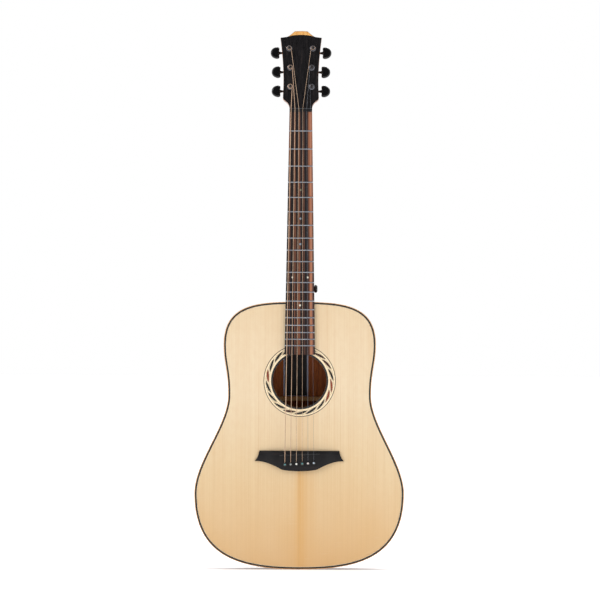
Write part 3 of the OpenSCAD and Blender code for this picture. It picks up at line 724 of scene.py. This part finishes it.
def side_half(name, node, points):
    """One bent side, between the two bindings, with the neck's mortise cut in it."""
    outer, inner = 0.0, 2.2
    heights = 8
    rings, grain = [], []
    for x, z, nx, nz, run in points:
        ring = []
        for inset, turn in ((outer, range(heights + 1)), (inner, range(heights, -1, -1))):
            place_z = z + nz * inset * MM
            low, high = front_y(place_z, 5 * MM), back_y(place_z, 5 * MM)
            for i in turn:
                ring.append(Vector((x + nx * inset * MM, lerp(low, high, i / heights), place_z)))
                grain.append((run, ring[-1].y, 0.0))
        rings.append(ring)
    obj = make(name, loft(rings), SIDE_WOOD, "mahogany_body", node, grain=grain)
    carve(obj, box_shape((-MORTISE_HALF, FACE + 0.004, 0.485), (MORTISE_HALF, FACE + 0.080, 0.52)))


side_half("treble_side", "side_treble", LOOP[:HALF + 1])
side_half("bass_side", "side_bass", LOOP[HALF:] + [LOOP[0][:4] + (LOOP[-1][4] + 0.004,)])


def domed_back():
    """The back: flat inside, and outside a low dome over its whole width."""
    centre_z, rise, shells = 0.25, 0.0025, 14
    edge = [(x + nx * 2.2 * MM, z + nz * 2.2 * MM) for x, z, nx, nz, _ in LOOP]
    rings = [[Vector((x, back_y(z, 2.8 * MM), z)) for x, z in edge]]
    for j in range(shells):
        share = 1 - j / shells
        ring = []
        for x, z in edge:
            px, pz = x * share, centre_z + (z - centre_z) * share
            ring.append(Vector((px, back_y(pz, 0) + rise * (1 - share * share), pz)))
        rings.append(ring)
    obj = make("domed_back", loft(rings), BACK_WOOD, "mahogany_body", "back_plate")
    obj.data.materials.append(BACK_INSIDE)
    for face in obj.data.polygons:
        face.material_index = 1 if face.normal.y < -0.9 else 0


domed_back()


def ring_shape(inner, outer):
    """A flat ring let into the soundboard round the soundhole, its radii in mm."""
    rings, steps, low, high = [], 180, -1.0, 0.04
    for i in range(steps):
        a = 2 * pi * i / steps
        rings.append([front_point(r * MM * cos(a), HOLE_Z + r * MM * sin(a), h * MM)
                      for r, h in ((inner, low), (outer, low), (outer, high), (inner, high))])
    return loft(rings, closed=True)


for label, inner, outer, material, node in (
        ("inner_black", 51.0, 54.4, BLACK_FIBRE, None), ("inner_cream", 54.4, 57.8, CREAM_WOOD, None),
        ("inner_line", 57.8, 58.15, BLACK_FIBRE, None), ("rope_ground", 58.15, 64.15, CREAM_WOOD, None),
        ("outer_line", 64.15, 64.5, BLACK_FIBRE, None), ("outer_cream", 64.5, 67.2, CREAM_WOOD, None),
        ("outer_grey", 67.2, 68.5, GREY_LINE, "rosette")):
    make("rosette_" + label, ring_shape(inner, outer), material, "rosette_inlay", node)


def leaf(start, thickness):
    """One slanted leaf of the rope band: it starts at the outer edge, in degrees, and runs inwards."""
    turn, inner, outer, steps = 24.0, 58.4, 63.9, 14
    far, near = [], []
    for i in range(steps + 1):
        share = i / steps
        a = radians(start + turn * share)
        middle, half = lerp(outer, inner, share), thickness / 2 * sin(pi * share) ** 0.6
        for side, edge in ((1, far), (-1, near)):
            radius = min(outer + 0.1, max(inner - 0.1, middle + side * half)) * MM
            edge.append((radius * cos(a), HOLE_Z + radius * sin(a)))
    return prism(far + near[-2:0:-1], front_point, -0.2 * MM, 0.07 * MM)


LEAF_PITCH = 20
RED_LEAVES, BROWN_LEAVES = (8, 16, 17), (1, 2, 12)
for group, material, chosen in (
        ("red", LEAF_RED, RED_LEAVES), ("brown", LEAF_BROWN, BROWN_LEAVES),
        ("black", LEAF_BLACK, [i for i in range(18) if i not in RED_LEAVES + BROWN_LEAVES])):
    make("rosette_leaves_" + group,
         merged([leaf(i * LEAF_PITCH + RNG.uniform(-0.5, 0.5), RNG.uniform(3.7, 4.2)) for i in chosen]),
         material, "rosette_inlay")
make("rosette_strokes", merged([leaf((i + 0.5) * LEAF_PITCH, 0.55) for i in range(18)]), GREY_LINE,
     "rosette_inlay")

# ---- bridge

BRIDGE_TIP = (84.8, 205.6)
SADDLE_Z, SADDLE_SLANT, SADDLE_SLOT = 218, radians(2.1), (38.5, 1.2)
PIN_SPREAD, PIN_LOW, PIN_HIGH = 54.8, 199.1, 202.3


def table(pairs):
    """A function that reads between (x, value) pairs sorted by x."""
    def read(x):
        for (x0, v0), (x1, v1) in zip(pairs, pairs[1:]):
            if x <= x1:
                return lerp(v0, v1, (x - x0) / (x1 - x0) if x1 > x0 else 0)
        return pairs[-1][1]
    return read


bridge_back = table([(0, 225.3), (76.3, 225.3)]
                    + sorted(curve((76.3, 225.3), (76.8, 218), (80, 210), BRIDGE_TIP, 24, 1)))
bridge_front = table(sorted(curve(BRIDGE_TIP, (66, 206.2), (48, 197.5), (34, 189.6), 30)
                            + curve((34, 189.6), (24, 187.4), (12, 186.4), (0, 186.4), 24, 1)))


def pin_place(k):
    """x and z of bridge pin k, in mm; pin 1 is the treble one."""
    share = (6 - k) / 5
    return lerp(-PIN_SPREAD / 2, PIN_SPREAD / 2, share), lerp(PIN_LOW, PIN_HIGH, share)


def pin_radius(height):
    return 2.15 + (height + 14) * 0.4 / 22


def carved_bridge():
    """The bridge: full height under the strings, wings scooped thin, every edge rounded."""
    end, stations = 84.6, 150
    rings = []
    for i in range(stations + 1):
        x = -end * cos(pi * i / stations)
        low, high = bridge_front(abs(x)), bridge_back(abs(x))
        top = 8.0 - 4.2 * smooth(46, 70, abs(x))
        radius = min(1.5, (high - low) / 2.2, top * 0.5)
        ring = [(low, 0.0), (low, top - radius)]
        ring += [(low + u, top - v) for u, v in corner(radius)[1:]]
        ring += [(high - v, top - u) for u, v in corner(radius)]
        ring += [(high, 0.0)]
        rings.append([front_mm(x, z, h) for z, h in ring])
    obj = make("carved_bridge", loft(rings), BRIDGE_WOOD, "ebony", "bridge", sharp=40)
    cuts = []
    for k in SIX:
        cuts.append(turned([(pin_radius(-1) + 0.05, -1), (pin_radius(8) + 0.05, 8), (2.85, 8.4)],
                           upright(*pin_place(k)), 32))
    turn = Matrix.Translation((0, 0, SADDLE_Z * MM)) @ Matrix.Rotation(-SADDLE_SLANT, 4, "Y")
    half, thin = [size * MM for size in SADDLE_SLOT]
    verts, faces = box_shape((-half, FACE - 13 * MM, -thin), (half, FACE - 3 * MM, thin))
    cuts.append(([turn @ v for v in verts], faces))
    for cut in cuts:
        carve(obj, cut)


carved_bridge()

PIN_DOTS = [  # treble to bass: the shell dot on each pin's head
    [(150, 168, 186), (196, 208, 220)], [(206, 190, 188), (238, 226, 222)],
    [(46, 104, 108), (96, 148, 146)], [(216, 216, 208), (242, 242, 236)],
    [(120, 124, 122), (164, 168, 164)], [(38, 98, 104), (92, 150, 150)],
]


def turned_pin(k):
    """A bridge pin: tapered and grooved shaft, moulded collar, domed head with a shell dot."""
    x, z = pin_place(k)
    profile = [(0.3, -14), (1.7, -13.8), (pin_radius(-13), -13), (pin_radius(8), 8), (3.1, 8.06), (3.2, 8.3),
               (3.2, 9.7), (3.35, 9.95), (3.8, 10.3), (3.9, 10.6)]
    profile += [(3.9 * cos(a), 10.8 + 2.1 * sin(a)) for a in quarter(12, 1, 1)] + [(0.25, 12.9)]
    obj = make(f"turned_pin_{k}", turned(profile, upright(x, z), 36), PIN_BLACK, "pin_plastic",
               f"bridge_pin_{k}", f"pin_{k}")
    carve(obj, box_shape(((x - 0.75) * MM, FACE - 9.9 * MM, (z + 0.85) * MM),
                         ((x + 0.75) * MM, FACE + 16 * MM, (z + 6) * MM)))
    dot = [(1.7, 11.5), (1.7, 12.66)] + [(1.7 * cos(a), 12.66 + 0.36 * sin(a))
                                         for a in quarter(6, 1, 1)] + [(0.1, 13.02)]
    make(f"pin_dot_{k}", turned(dot, upright(x, z), 28), shell(f"pin dot {k}", PIN_DOTS[k - 1], k),
         "dot_pearl", body=f"pin_{k}")


for number in SIX:
    turned_pin(number)

# ---- CAD nodes that stay as they are

paint(SPRUCE, "soundboard")
paint(BRACE_WOOD, "x_braces", "transverse_brace", "tone_bars", "finger_braces", "back_braces")
paint(BLOCK_WOOD, "neck_block", "tail_block")
paint(LINING_WOOD, "top_linings", "back_linings", "bridge_plate")
paint(LABEL_PAPER, "label")
paint(NUT_BLACK, "saddle", "nut")
paint(STRAP_BLACK, "strap_button")
paint(SCREW_METAL, "strap_button_screw", "tuner_screws")
paint(ROD_STEEL, "truss_rod", "truss_rod_nut")

# ---- neck

BOARD_LEN = NUT_Z - BOARD_END_Z
BOARD_T, BOARD_R = 6.2 * MM, 406 * MM


def neck_half(z):
    """Half the neck's width at z."""
    return max(43.0, 43.0 + (NUT_Z - z) / BOARD_LEN * 14.9) / 2 * MM


heel_ridge = curve((533, 106), (536, 56), (550, 19), (604, 16.4), 60)
neck_depth = table([(500, 106)] + heel_ridge + [(640, 16.2), (700, 15.8), (780, 15.2), (840, 14.7),
                                                (856, 14.6), (866, 14.8), (875, 15.2)])


def squareness(z, depth):
    """The section's exponent: an oval along the neck, nearly a rectangle in the heel and at the nut."""
    heel = 3.7 * min(1.0, max(0.0, (depth - 16.4) / 60)) if z < 604 else 0.0
    return 2.3 + heel + 3.7 * smooth(848, 875, z)


def neck_skin():
    """The neck and its heel, down to the heel cap's joint."""
    stations = [506.5, 515, 524, 530] + [z for z, _ in heel_ridge]
    stations += [612 + 8 * i for i in range(32)] + [864, 868, 872, 874.8]
    steps, rings = 48, []
    for z in stations:
        depth = neck_depth(z)
        power = squareness(z, depth)
        ring = []
        for i in range(steps + 1):
            a = pi * i / steps
            y = depth * max(0.0, sin(a)) ** (2 / power)
            x = neck_half(z * MM) * abs(cos(a)) ** (2 / power) * (1 - 0.45 * (y / 100) ** 0.9)
            row_y = min(FACE + y * MM, back_y(z * MM, 2.5 * MM))
            ring.append(Vector((copysign(x, cos(a)), row_y, z * MM)))
        rings.append(ring)
    obj = make("neck_skin", loft(rings), NECK_WOOD, "mahogany_neck", "neck", sharp=50)
    carve(obj, turned([(8, 17.5), (8, 47)], lambda u, v, t: front_mm(t, 533 + v, -(46 + u))))


neck_skin()


def heel_cap_piece():
    """The black cap that closes the heel, in line with the back."""
    level = 98.0
    right = []
    for z in [508.05 + 0.5 * i for i in range(60)]:
        depth = neck_depth(z)
        if depth <= level:
            break
        half = neck_half(z * MM) * (1 - 0.45 * (level / 100) ** 0.9)
        right.append((half * max(0.0, 1 - (level / depth) ** 6) ** (1 / 6), z * MM))
    right.append((0.0, right[-1][1] + 0.1 * MM))
    shape = prism(mirrored(right[:-1], right[-1]), lambda u, v, depth: Vector((u, back_y(v, depth), v)),
                  2.5 * MM, 0.0)
    bevel(make("heel_cap_piece", shape, CAP_WOOD, "ebony", "heel_cap"), 0.5 * MM)


heel_cap_piece()


def crown(x):
    """How far the fingerboard's face has dropped at x."""
    return BOARD_R - sqrt(BOARD_R ** 2 - x * x)


def crowned_board():
    rings, steps, ease = [], 24, 0.5 * MM
    for i in range(41):
        z = lerp(BOARD_END_Z, NUT_Z, i / 40)
        half = neck_half(z)
        ring = [(-half, 0.0)]
        for j in range(steps + 1):
            x = half * (2 * j / steps - 1)
            edge = max(0.0, 1 - (half - abs(x)) / ease)
            ring.append((x, BOARD_T - crown(x) - ease * edge * edge))
        ring.append((half, 0.0))
        rings.append([front_point(x, z, h) for x, h in ring])
    make("crowned_board", loft(rings), BOARD_WOOD, "fingerboard_wood", "fingerboard", sharp=50)


crowned_board()


def fret_z(n):
    return NUT_Z - SCALE_LEN * (1 - 2 ** (-n / 12))


def fret(n):
    """One half-round fret, following the crown, its ends bevelled and dressed."""
    half_w, rise = 1.15 * MM, 1.1 * MM
    z, half = fret_z(n), neck_half(fret_z(n)) - 0.1 * MM
    places = [-half, -half + 0.3 * MM, -half + 0.8 * MM, -half + 1.2 * MM]
    places += [half * (2 * i / 18 - 1) for i in range(1, 18)] + [-p for p in reversed(places)]
    rings = []
    for x in places:
        full = smooth(-0.35 * MM, 1.25 * MM, half - abs(x))
        base = BOARD_T - crown(x) - 0.05 * MM
        ring = [front_point(x, z + half_w * cos(a), base + rise * full * sin(a) ** 0.8)
                for a in (pi * i / 12 for i in range(13))]
        ring += [front_point(x, z + side * half_w / 2, base - 0.3 * MM) for side in (-1, 1)]
        rings.append(ring)
    return loft(rings)


make("dressed_frets", merged([fret(n) for n in range(1, 21)]), FRET_METAL, "fret_wire", "frets",
     sharp=60)


def board_dot(n, x):
    z = (fret_z(n) + fret_z(n - 1)) / 2
    top = (BOARD_T - crown(x * MM)) / MM
    return turned([(2.0, top - 1), (2.0, top + 0.01), (1.9, top + 0.03)], upright(x, z / MM), 32)


for label, material, places, node in (
        ("dim", DOT_DIM, [(5, 0)], None), ("blue", DOT_BLUE, [(7, 0), (9, 0)], None),
        ("pearl", DOT_PEARL, [(12, -14), (12, 14), (15, 0)], "position_dots")):
    make("board_dots_" + label, merged([board_dot(*p) for p in places]), material, "dot_pearl", node)

# ---- headstock

CROWN_FOOT = (26.2, 138.6)
HEAD_RIGHT = (curve((21.45, 0), (21.5, 5.9), (24, 11.4), (30.2, 15), 14)
              + curve((30.2, 15), (32.6, 16.5), (34.2, 18.9), (34.2, 21.8), 6, 1)
              + curve((34.2, 21.8), (32, 59.3), (33.4, 90.9), (39.3, 136.8), 26, 1)
              + curve((39.3, 136.8), (36, 137.1), (30.5, 137.8), CROWN_FOOT, 8, 1)
              + curve(CROWN_FOOT, (21.5, 140.6), (17.5, 144.6), (12.3, 149.1), 14, 1) + [(6, 149.5)])
HEAD_OUTLINE = mirrored(HEAD_RIGHT, (0, 149.6))


def head_at(u, v, y):
    return head_point(u * MM, y * MM, v * MM)


def inset(outline, distance):
    """The outline moved inwards; it runs counter-clockwise."""
    moved = []
    for i, (x, z) in enumerate(outline):
        (x0, z0), (x1, z1) = outline[i - 1], outline[(i + 1) % len(outline)]
        size = hypot(x1 - x0, z1 - z0)
        moved.append((x - (z1 - z0) / size * distance, z + (x1 - x0) / size * distance))
    return moved


for name, shape, ease, *facts in (
        ("head_core", prism(HEAD_OUTLINE, head_at, 1.5, 15.0), 0.9,
         HEAD_WOOD, "headstock_wood", "headstock"),
        ("head_veneer", prism(inset(HEAD_OUTLINE, 0.25), head_at, 0.0, 1.6), 0.4,
         VENEER_WOOD, "headstock_black", "headstock_veneer"),
        # The thin grey strip at the nut's top edge is a painted highlight, not a part of the guitar.
        ("nut_shim", box_shape((-0.0214, FACE - 0.0022, HEAD_Z - 0.0001),
                               (0.0214, FACE - 0.0001, HEAD_Z + 0.0007)), 0.2, NUT_HIGHLIGHT_GREY, "nut_black")):
    bevel(make(name, shape, *facts), ease * MM)
TIP_RIGHT = curve((24.6, 138.6), (20.8, 140.4), (16.9, 144.2), (12.0, 148.4), 14) + [(6, 148.8)]
TIP_OUTLINE = (mirrored(TIP_RIGHT, (0, 148.9))
               + curve((-24.6, 138.6), (-14, 143.2), (14, 143.2), (24.6, 138.6), 20, 1)[:-1])
make("crown_tip", prism(TIP_OUTLINE, head_at, -0.06, 1.0), TIP_WOOD, "headstock_wood")

# ---- tuning machines

POST_ROW, POST_X = (0, 1, 2, 2, 1, 0), (20.3, 20.3, 22.5)
WORM_Y, WORM_DROP = 20.5, 5.4


def side_of(k):
    return 1 if k <= 3 else -1


def post_place(k):
    row = POST_ROW[k - 1]
    return side_of(k) * POST_X[row], 41.9 + row * 36.9


def at_post(k):
    """Maps a point beside post k, in mm with +x outwards, to a row point."""
    x0, z0 = post_place(k)
    return lambda x, y, z: head_at(x0 + side_of(k) * x, z0 + z, y)


def rounded_box(low_x, high_x, low_z, high_z, radius):
    """A rectangle with rounded corners, counter-clockwise."""
    points, steps = [], 6
    for cx, cz, first in ((high_x - radius, high_z - radius, 0), (low_x + radius, high_z - radius, 90),
                          (low_x + radius, low_z + radius, 180), (high_x - radius, low_z + radius, 270)):
        for i in range(steps + 1):
            a = radians(first + 90 * i / steps)
            points.append((cx + radius * cos(a), cz + radius * sin(a)))
    return points


def housing(k):
    """A die-cast gear housing with its screw lug and the sleeve that the key's shaft comes out of."""
    at = at_post(k)
    levels = ((15, 0), (25, 0), (25.7, 0.2), (26.3, 0.7), (26.7, 1.2), (27.3, 1.5), (27.6, 2.1))
    case = loft([[at(x, y, z) for x, z in rounded_box(-8.6 + e, 8.6 - e, -9.8 + e, 6.4 - e, 2.6)]
                 for y, e in levels])
    lug = loft([[at(x, y, z) for x, z in rounded_box(-3.2 + e, 3.2 - e, 3, 12.8 - e, 3.0 - e)]
                for y, e in ((15, 0), (17, 0), (17.4, 0.4))])
    sleeve = turned([(3.3, 7.6), (3.3, 9.4), (2.9, 9.9), (2.0, 9.9)],
                    lambda u, v, t: at(t, WORM_Y + u, v - WORM_DROP), 28)
    return merged([case, lug, sleeve])


make("cast_housings", merged([housing(k) for k in SIX]), HOUSING_BLACK, "tuner_black",
     "tuner_housings", sharp=45)


def bushing(k):
    at = at_post(k)
    profile = [(3.1, 0.4), (3.1, -2.3), (3.35, -2.6), (3.9, -2.6), (4.3, -2.3), (4.5, -1.75), (5.3, -1.55),
               (5.8, -1.15), (6.0, -0.6), (6.0, 0.0), (5.9, 0.4)]
    return turned(profile, lambda u, v, t: at(u, t, v), 48)


make("turned_bushings", merged([bushing(k) for k in SIX]), BUSHING_METAL, "bushing_chrome",
     "tuner_bushings", sharp=45)
BUTTON_RIGHT = (curve((0.4, 0), (0.2, 3), (-0.8, 6.2), (-0.4, 9), 10)
                + curve((-0.4, 9), (0.2, 11.1), (3.4, 11.8), (6.2, 11.2), 8, 1)
                + curve((6.2, 11.2), (12.2, 10), (16.4, 6), (16.4, 0), 14, 1))
BUTTON_OUTLINE = BUTTON_RIGHT + [(x, -z) for x, z in reversed(BUTTON_RIGHT[1:-1])]


def tuner_key(k):
    """A key: worm and shaft in the housing, a flared stem, and a pillowed half-moon button."""
    at = at_post(k)

    def along(u, v, t):
        return at(t, WORM_Y + u, v - WORM_DROP)
    worm = [(0.6, -7.7), (1.2, -7.5), (1.2, -3.5)]
    for i in range(9):
        worm += [(1.35, -3.3 + i * 0.75), (1.7, -3.1 + i * 0.75), (1.7, -2.9 + i * 0.75)]
    stem = worm + [(2.4, 3.6), (2.4, 4.4), (1.8, 4.5), (1.8, 9.8), (2.2, 10.4), (2.2, 14.6)]
    stem += [(2.2 + 1.5 * smooth(14.6, 20.4, t), t) for t in (15.5, 16.5, 17.5, 18.5, 19.4, 20.4)]
    levels = [(3.6 * sin(a), 1 - 0.3 * (1 - cos(a)) ** 1.1)
              for a in (pi / 2 * (i / 8 - 1) * 0.98 for i in range(17))]
    button = loft([[at(19 + 7 + (x - 7) * size, WORM_Y + v, z * size - WORM_DROP)
                    for x, z in BUTTON_OUTLINE] for v, size in levels])
    make(f"key_and_button_{k}", merged([turned(stem, along, 24), button]), BUTTON_BLACK,
         "button_plastic", f"tuner_key_{k}", f"key_{k}", 50)


for number in SIX:
    tuner_key(number)
    paint(POST_METAL, f"tuner_post_{number}")

# ---- strings

STRING_R = (0.15, 0.205, 0.305, 0.405, 0.535, 0.675)
WRAPS, POST_R, HOLE_Y = 2.5, 3.0, -7.8
SADDLE_TOP, NUT_TOP, NUT_SPREAD = 11.7, 7.7, 37


def string_path(k):
    """String k's whole run, in metres: ball end, pin, saddle, nut, and the wraps round its post."""
    radius, side = STRING_R[k - 1], side_of(k)
    x, z = pin_place(k)
    nut_x = lerp(-NUT_SPREAD / 2, NUT_SPREAD / 2, (6 - k) / 5)
    saddle_at = SADDLE_Z + x * tan(SADDLE_SLANT)
    nut_end = HEAD_Z / MM + 0.3
    slope = (SADDLE_TOP - NUT_TOP) / (HEAD_Z / MM - saddle_at)
    nut_h = SADDLE_TOP + radius - (nut_end - saddle_at) * slope
    post_x, post_z = post_place(k)
    ring, pitch = POST_R + radius + 0.1, 2 * radius + 0.06
    u, w = side * (post_x - nut_x), post_z + nut_h * sin(HEAD_TILT)
    start = atan2(u, w) - asin(ring / hypot(u, w))
    path = [front_mm(px, pz, h) for px, pz, h in (
        (x, z + 4.4, -7.4), (x, z + 2.4, -6.9), (x, z + 1.6, -5.9), (x, z + 1.6, 7.0), (x, z + 1.75, 8.1),
        (x, z + 2.3, 8.55), (x, z + 3.2, 8.8), (x, saddle_at - 0.9, 11.2 + radius),
        (x, saddle_at - 0.3, 11.6 + radius), (x, saddle_at + 0.5, SADDLE_TOP + radius))]
    path.append(front_mm(nut_x, nut_end - 1, nut_h))
    path.append(front_mm(nut_x, nut_end, nut_h))
    steps = 36
    for i in range(int(WRAPS * steps) + 1):
        a = start + 2 * pi * i / steps
        path.append(head_at(post_x - side * ring * cos(a), post_z + ring * sin(a),
                            HOLE_Y + pitch * (WRAPS - i / steps)))
    return path


def string_piece(k):
    """A string, its ball end behind the pin, and the stub of its end in the post's hole."""
    path, sides = string_path(k), 12
    wire = STEEL if k < 3 else BRONZE_FINE if k < 5 else BRONZE
    slot = "string_steel" if k < 3 else "string_bronze"
    run, grain = 0.0, []
    for i, p in enumerate(path):
        run += (p - path[i - 1]).length if i else 0.0
        grain += [(0.0, run, 0.0)] * sides
    make(f"string_wire_{k}", tube(path, STRING_R[k - 1] * MM, sides), wire, slot, f"string_{k}",
         sharp=60, grain=grain)
    x, z = pin_place(k)
    ball = turned([(0.6, -1.7), (1.5, -1.7), (1.9, -1.2), (1.9, 1.2), (1.5, 1.7), (0.6, 1.7)],
                  lambda u, v, t: front_mm(x + t, z + 4.6 + u, -7.4 + v), 24)
    make(f"string_ball_{k}", ball, STEEL, "string_steel")
    at = at_post(k)
    stub = [at(x, HOLE_Y - y, z) for x, y, z in ((-4.4, 0, 0), (3.2, 0, 0), (4.6, 0.3, 0.2), (5.6, 0.9, 0.5))]
    make(f"string_stub_{k}", tube(stub, min(STRING_R[k - 1], 0.6) * MM, sides),
         STEEL if k < 3 else BRONZE_FINE, slot, body=f"post_{k}", sharp=60)


for number in SIX:
    string_piece(number)

# ---- studio


def floor_material():
    s = Surface("studio floor", roughness=0.7, specular=0.2)
    cloud = s.noise(s.mapped((3, 3, 3)), detail=4)
    s.colour(s.ramp(cloud, (0.3, rgb(250, 250, 250)), (0.7, rgb(254, 254, 254))))
    s.rough(cloud, 0.6, 0.8)
    s.shader.inputs["Emission Color"].default_value = WHITE
    s.shader.inputs["Emission Strength"].default_value = 0.3
    return s.material


def studio():
    """A wide pale floor, soft lamps above and beside, and a dim patch round the camera."""
    scene = bpy.context.scene
    size = 40
    mesh = bpy.data.meshes.new("floor")
    mesh.from_pydata([(-size, -size, 0), (size, -size, 0), (size, size, 0), (-size, size, 0)], [],
                     [(0, 1, 2, 3)])
    floor = in_scene("floor", mesh)
    floor.location.z = -0.0005
    floor.data.materials.append(floor_material())
    for name, spot, aim, power, width, height in (
            ("key", (-2.6, -2.6, 2.6), (0, 0, 0.5), 34, 1.8, 1.8),
            ("fill", (2.8, -2.4, 1.4), (0, 0, 0.5), 12, 1.6, 2.2),
            ("rim", (0.6, 2.6, 2.4), (0, 0, 0.6), 40, 2.0, 1.2)):
        lamp = bpy.data.lights.new(name, "AREA")
        lamp.shape, lamp.size, lamp.size_y, lamp.energy = "RECTANGLE", width, height, power
        holder = in_scene(name, lamp)
        holder.location = spot
        holder.rotation_euler = (Vector(aim) - Vector(spot)).to_track_quat("-Z", "Y").to_euler()
    world = bpy.data.worlds.new("studio")
    scene.world = world
    world.use_nodes = True
    sky = Nodes(world.node_tree, "Background")
    x, y, z = sky.axes(sky.add("ShaderNodeTexCoord").outputs["Generated"])
    wide = sky.calc("DIVIDE", x, 0.55)
    tall = sky.calc("DIVIDE", sky.minus(z, 0.15), 0.55)
    off = sky.calc("SQRT", sky.plus(sky.times(wide, wide), sky.times(tall, tall)))
    behind = sky.times(sky.calc("GREATER_THAN", y, 0.0), 9.0)
    dim = sky.ramp(sky.times(sky.plus(off, behind), 0.5), (0.2, (0.1, 0.1, 0.105, 1)), (0.75, WHITE))
    dim.node.color_ramp.interpolation = "EASE"
    sky.set("Color", dim)
    sky.shader.inputs["Strength"].default_value = 1.0
    lens = bpy.data.cameras.new("camera")
    lens.lens, lens.sensor_width, lens.clip_end = 505.7, 36, 100
    camera = in_scene("camera", lens)
    camera.location = (0, FACE - 16.0, 0.5115)
    camera.rotation_euler = (pi / 2, radians(-0.25), 0)
    scene.camera = camera
    scene.view_settings.view_transform = "Standard"
    scene.view_settings.look = "None"


studio()
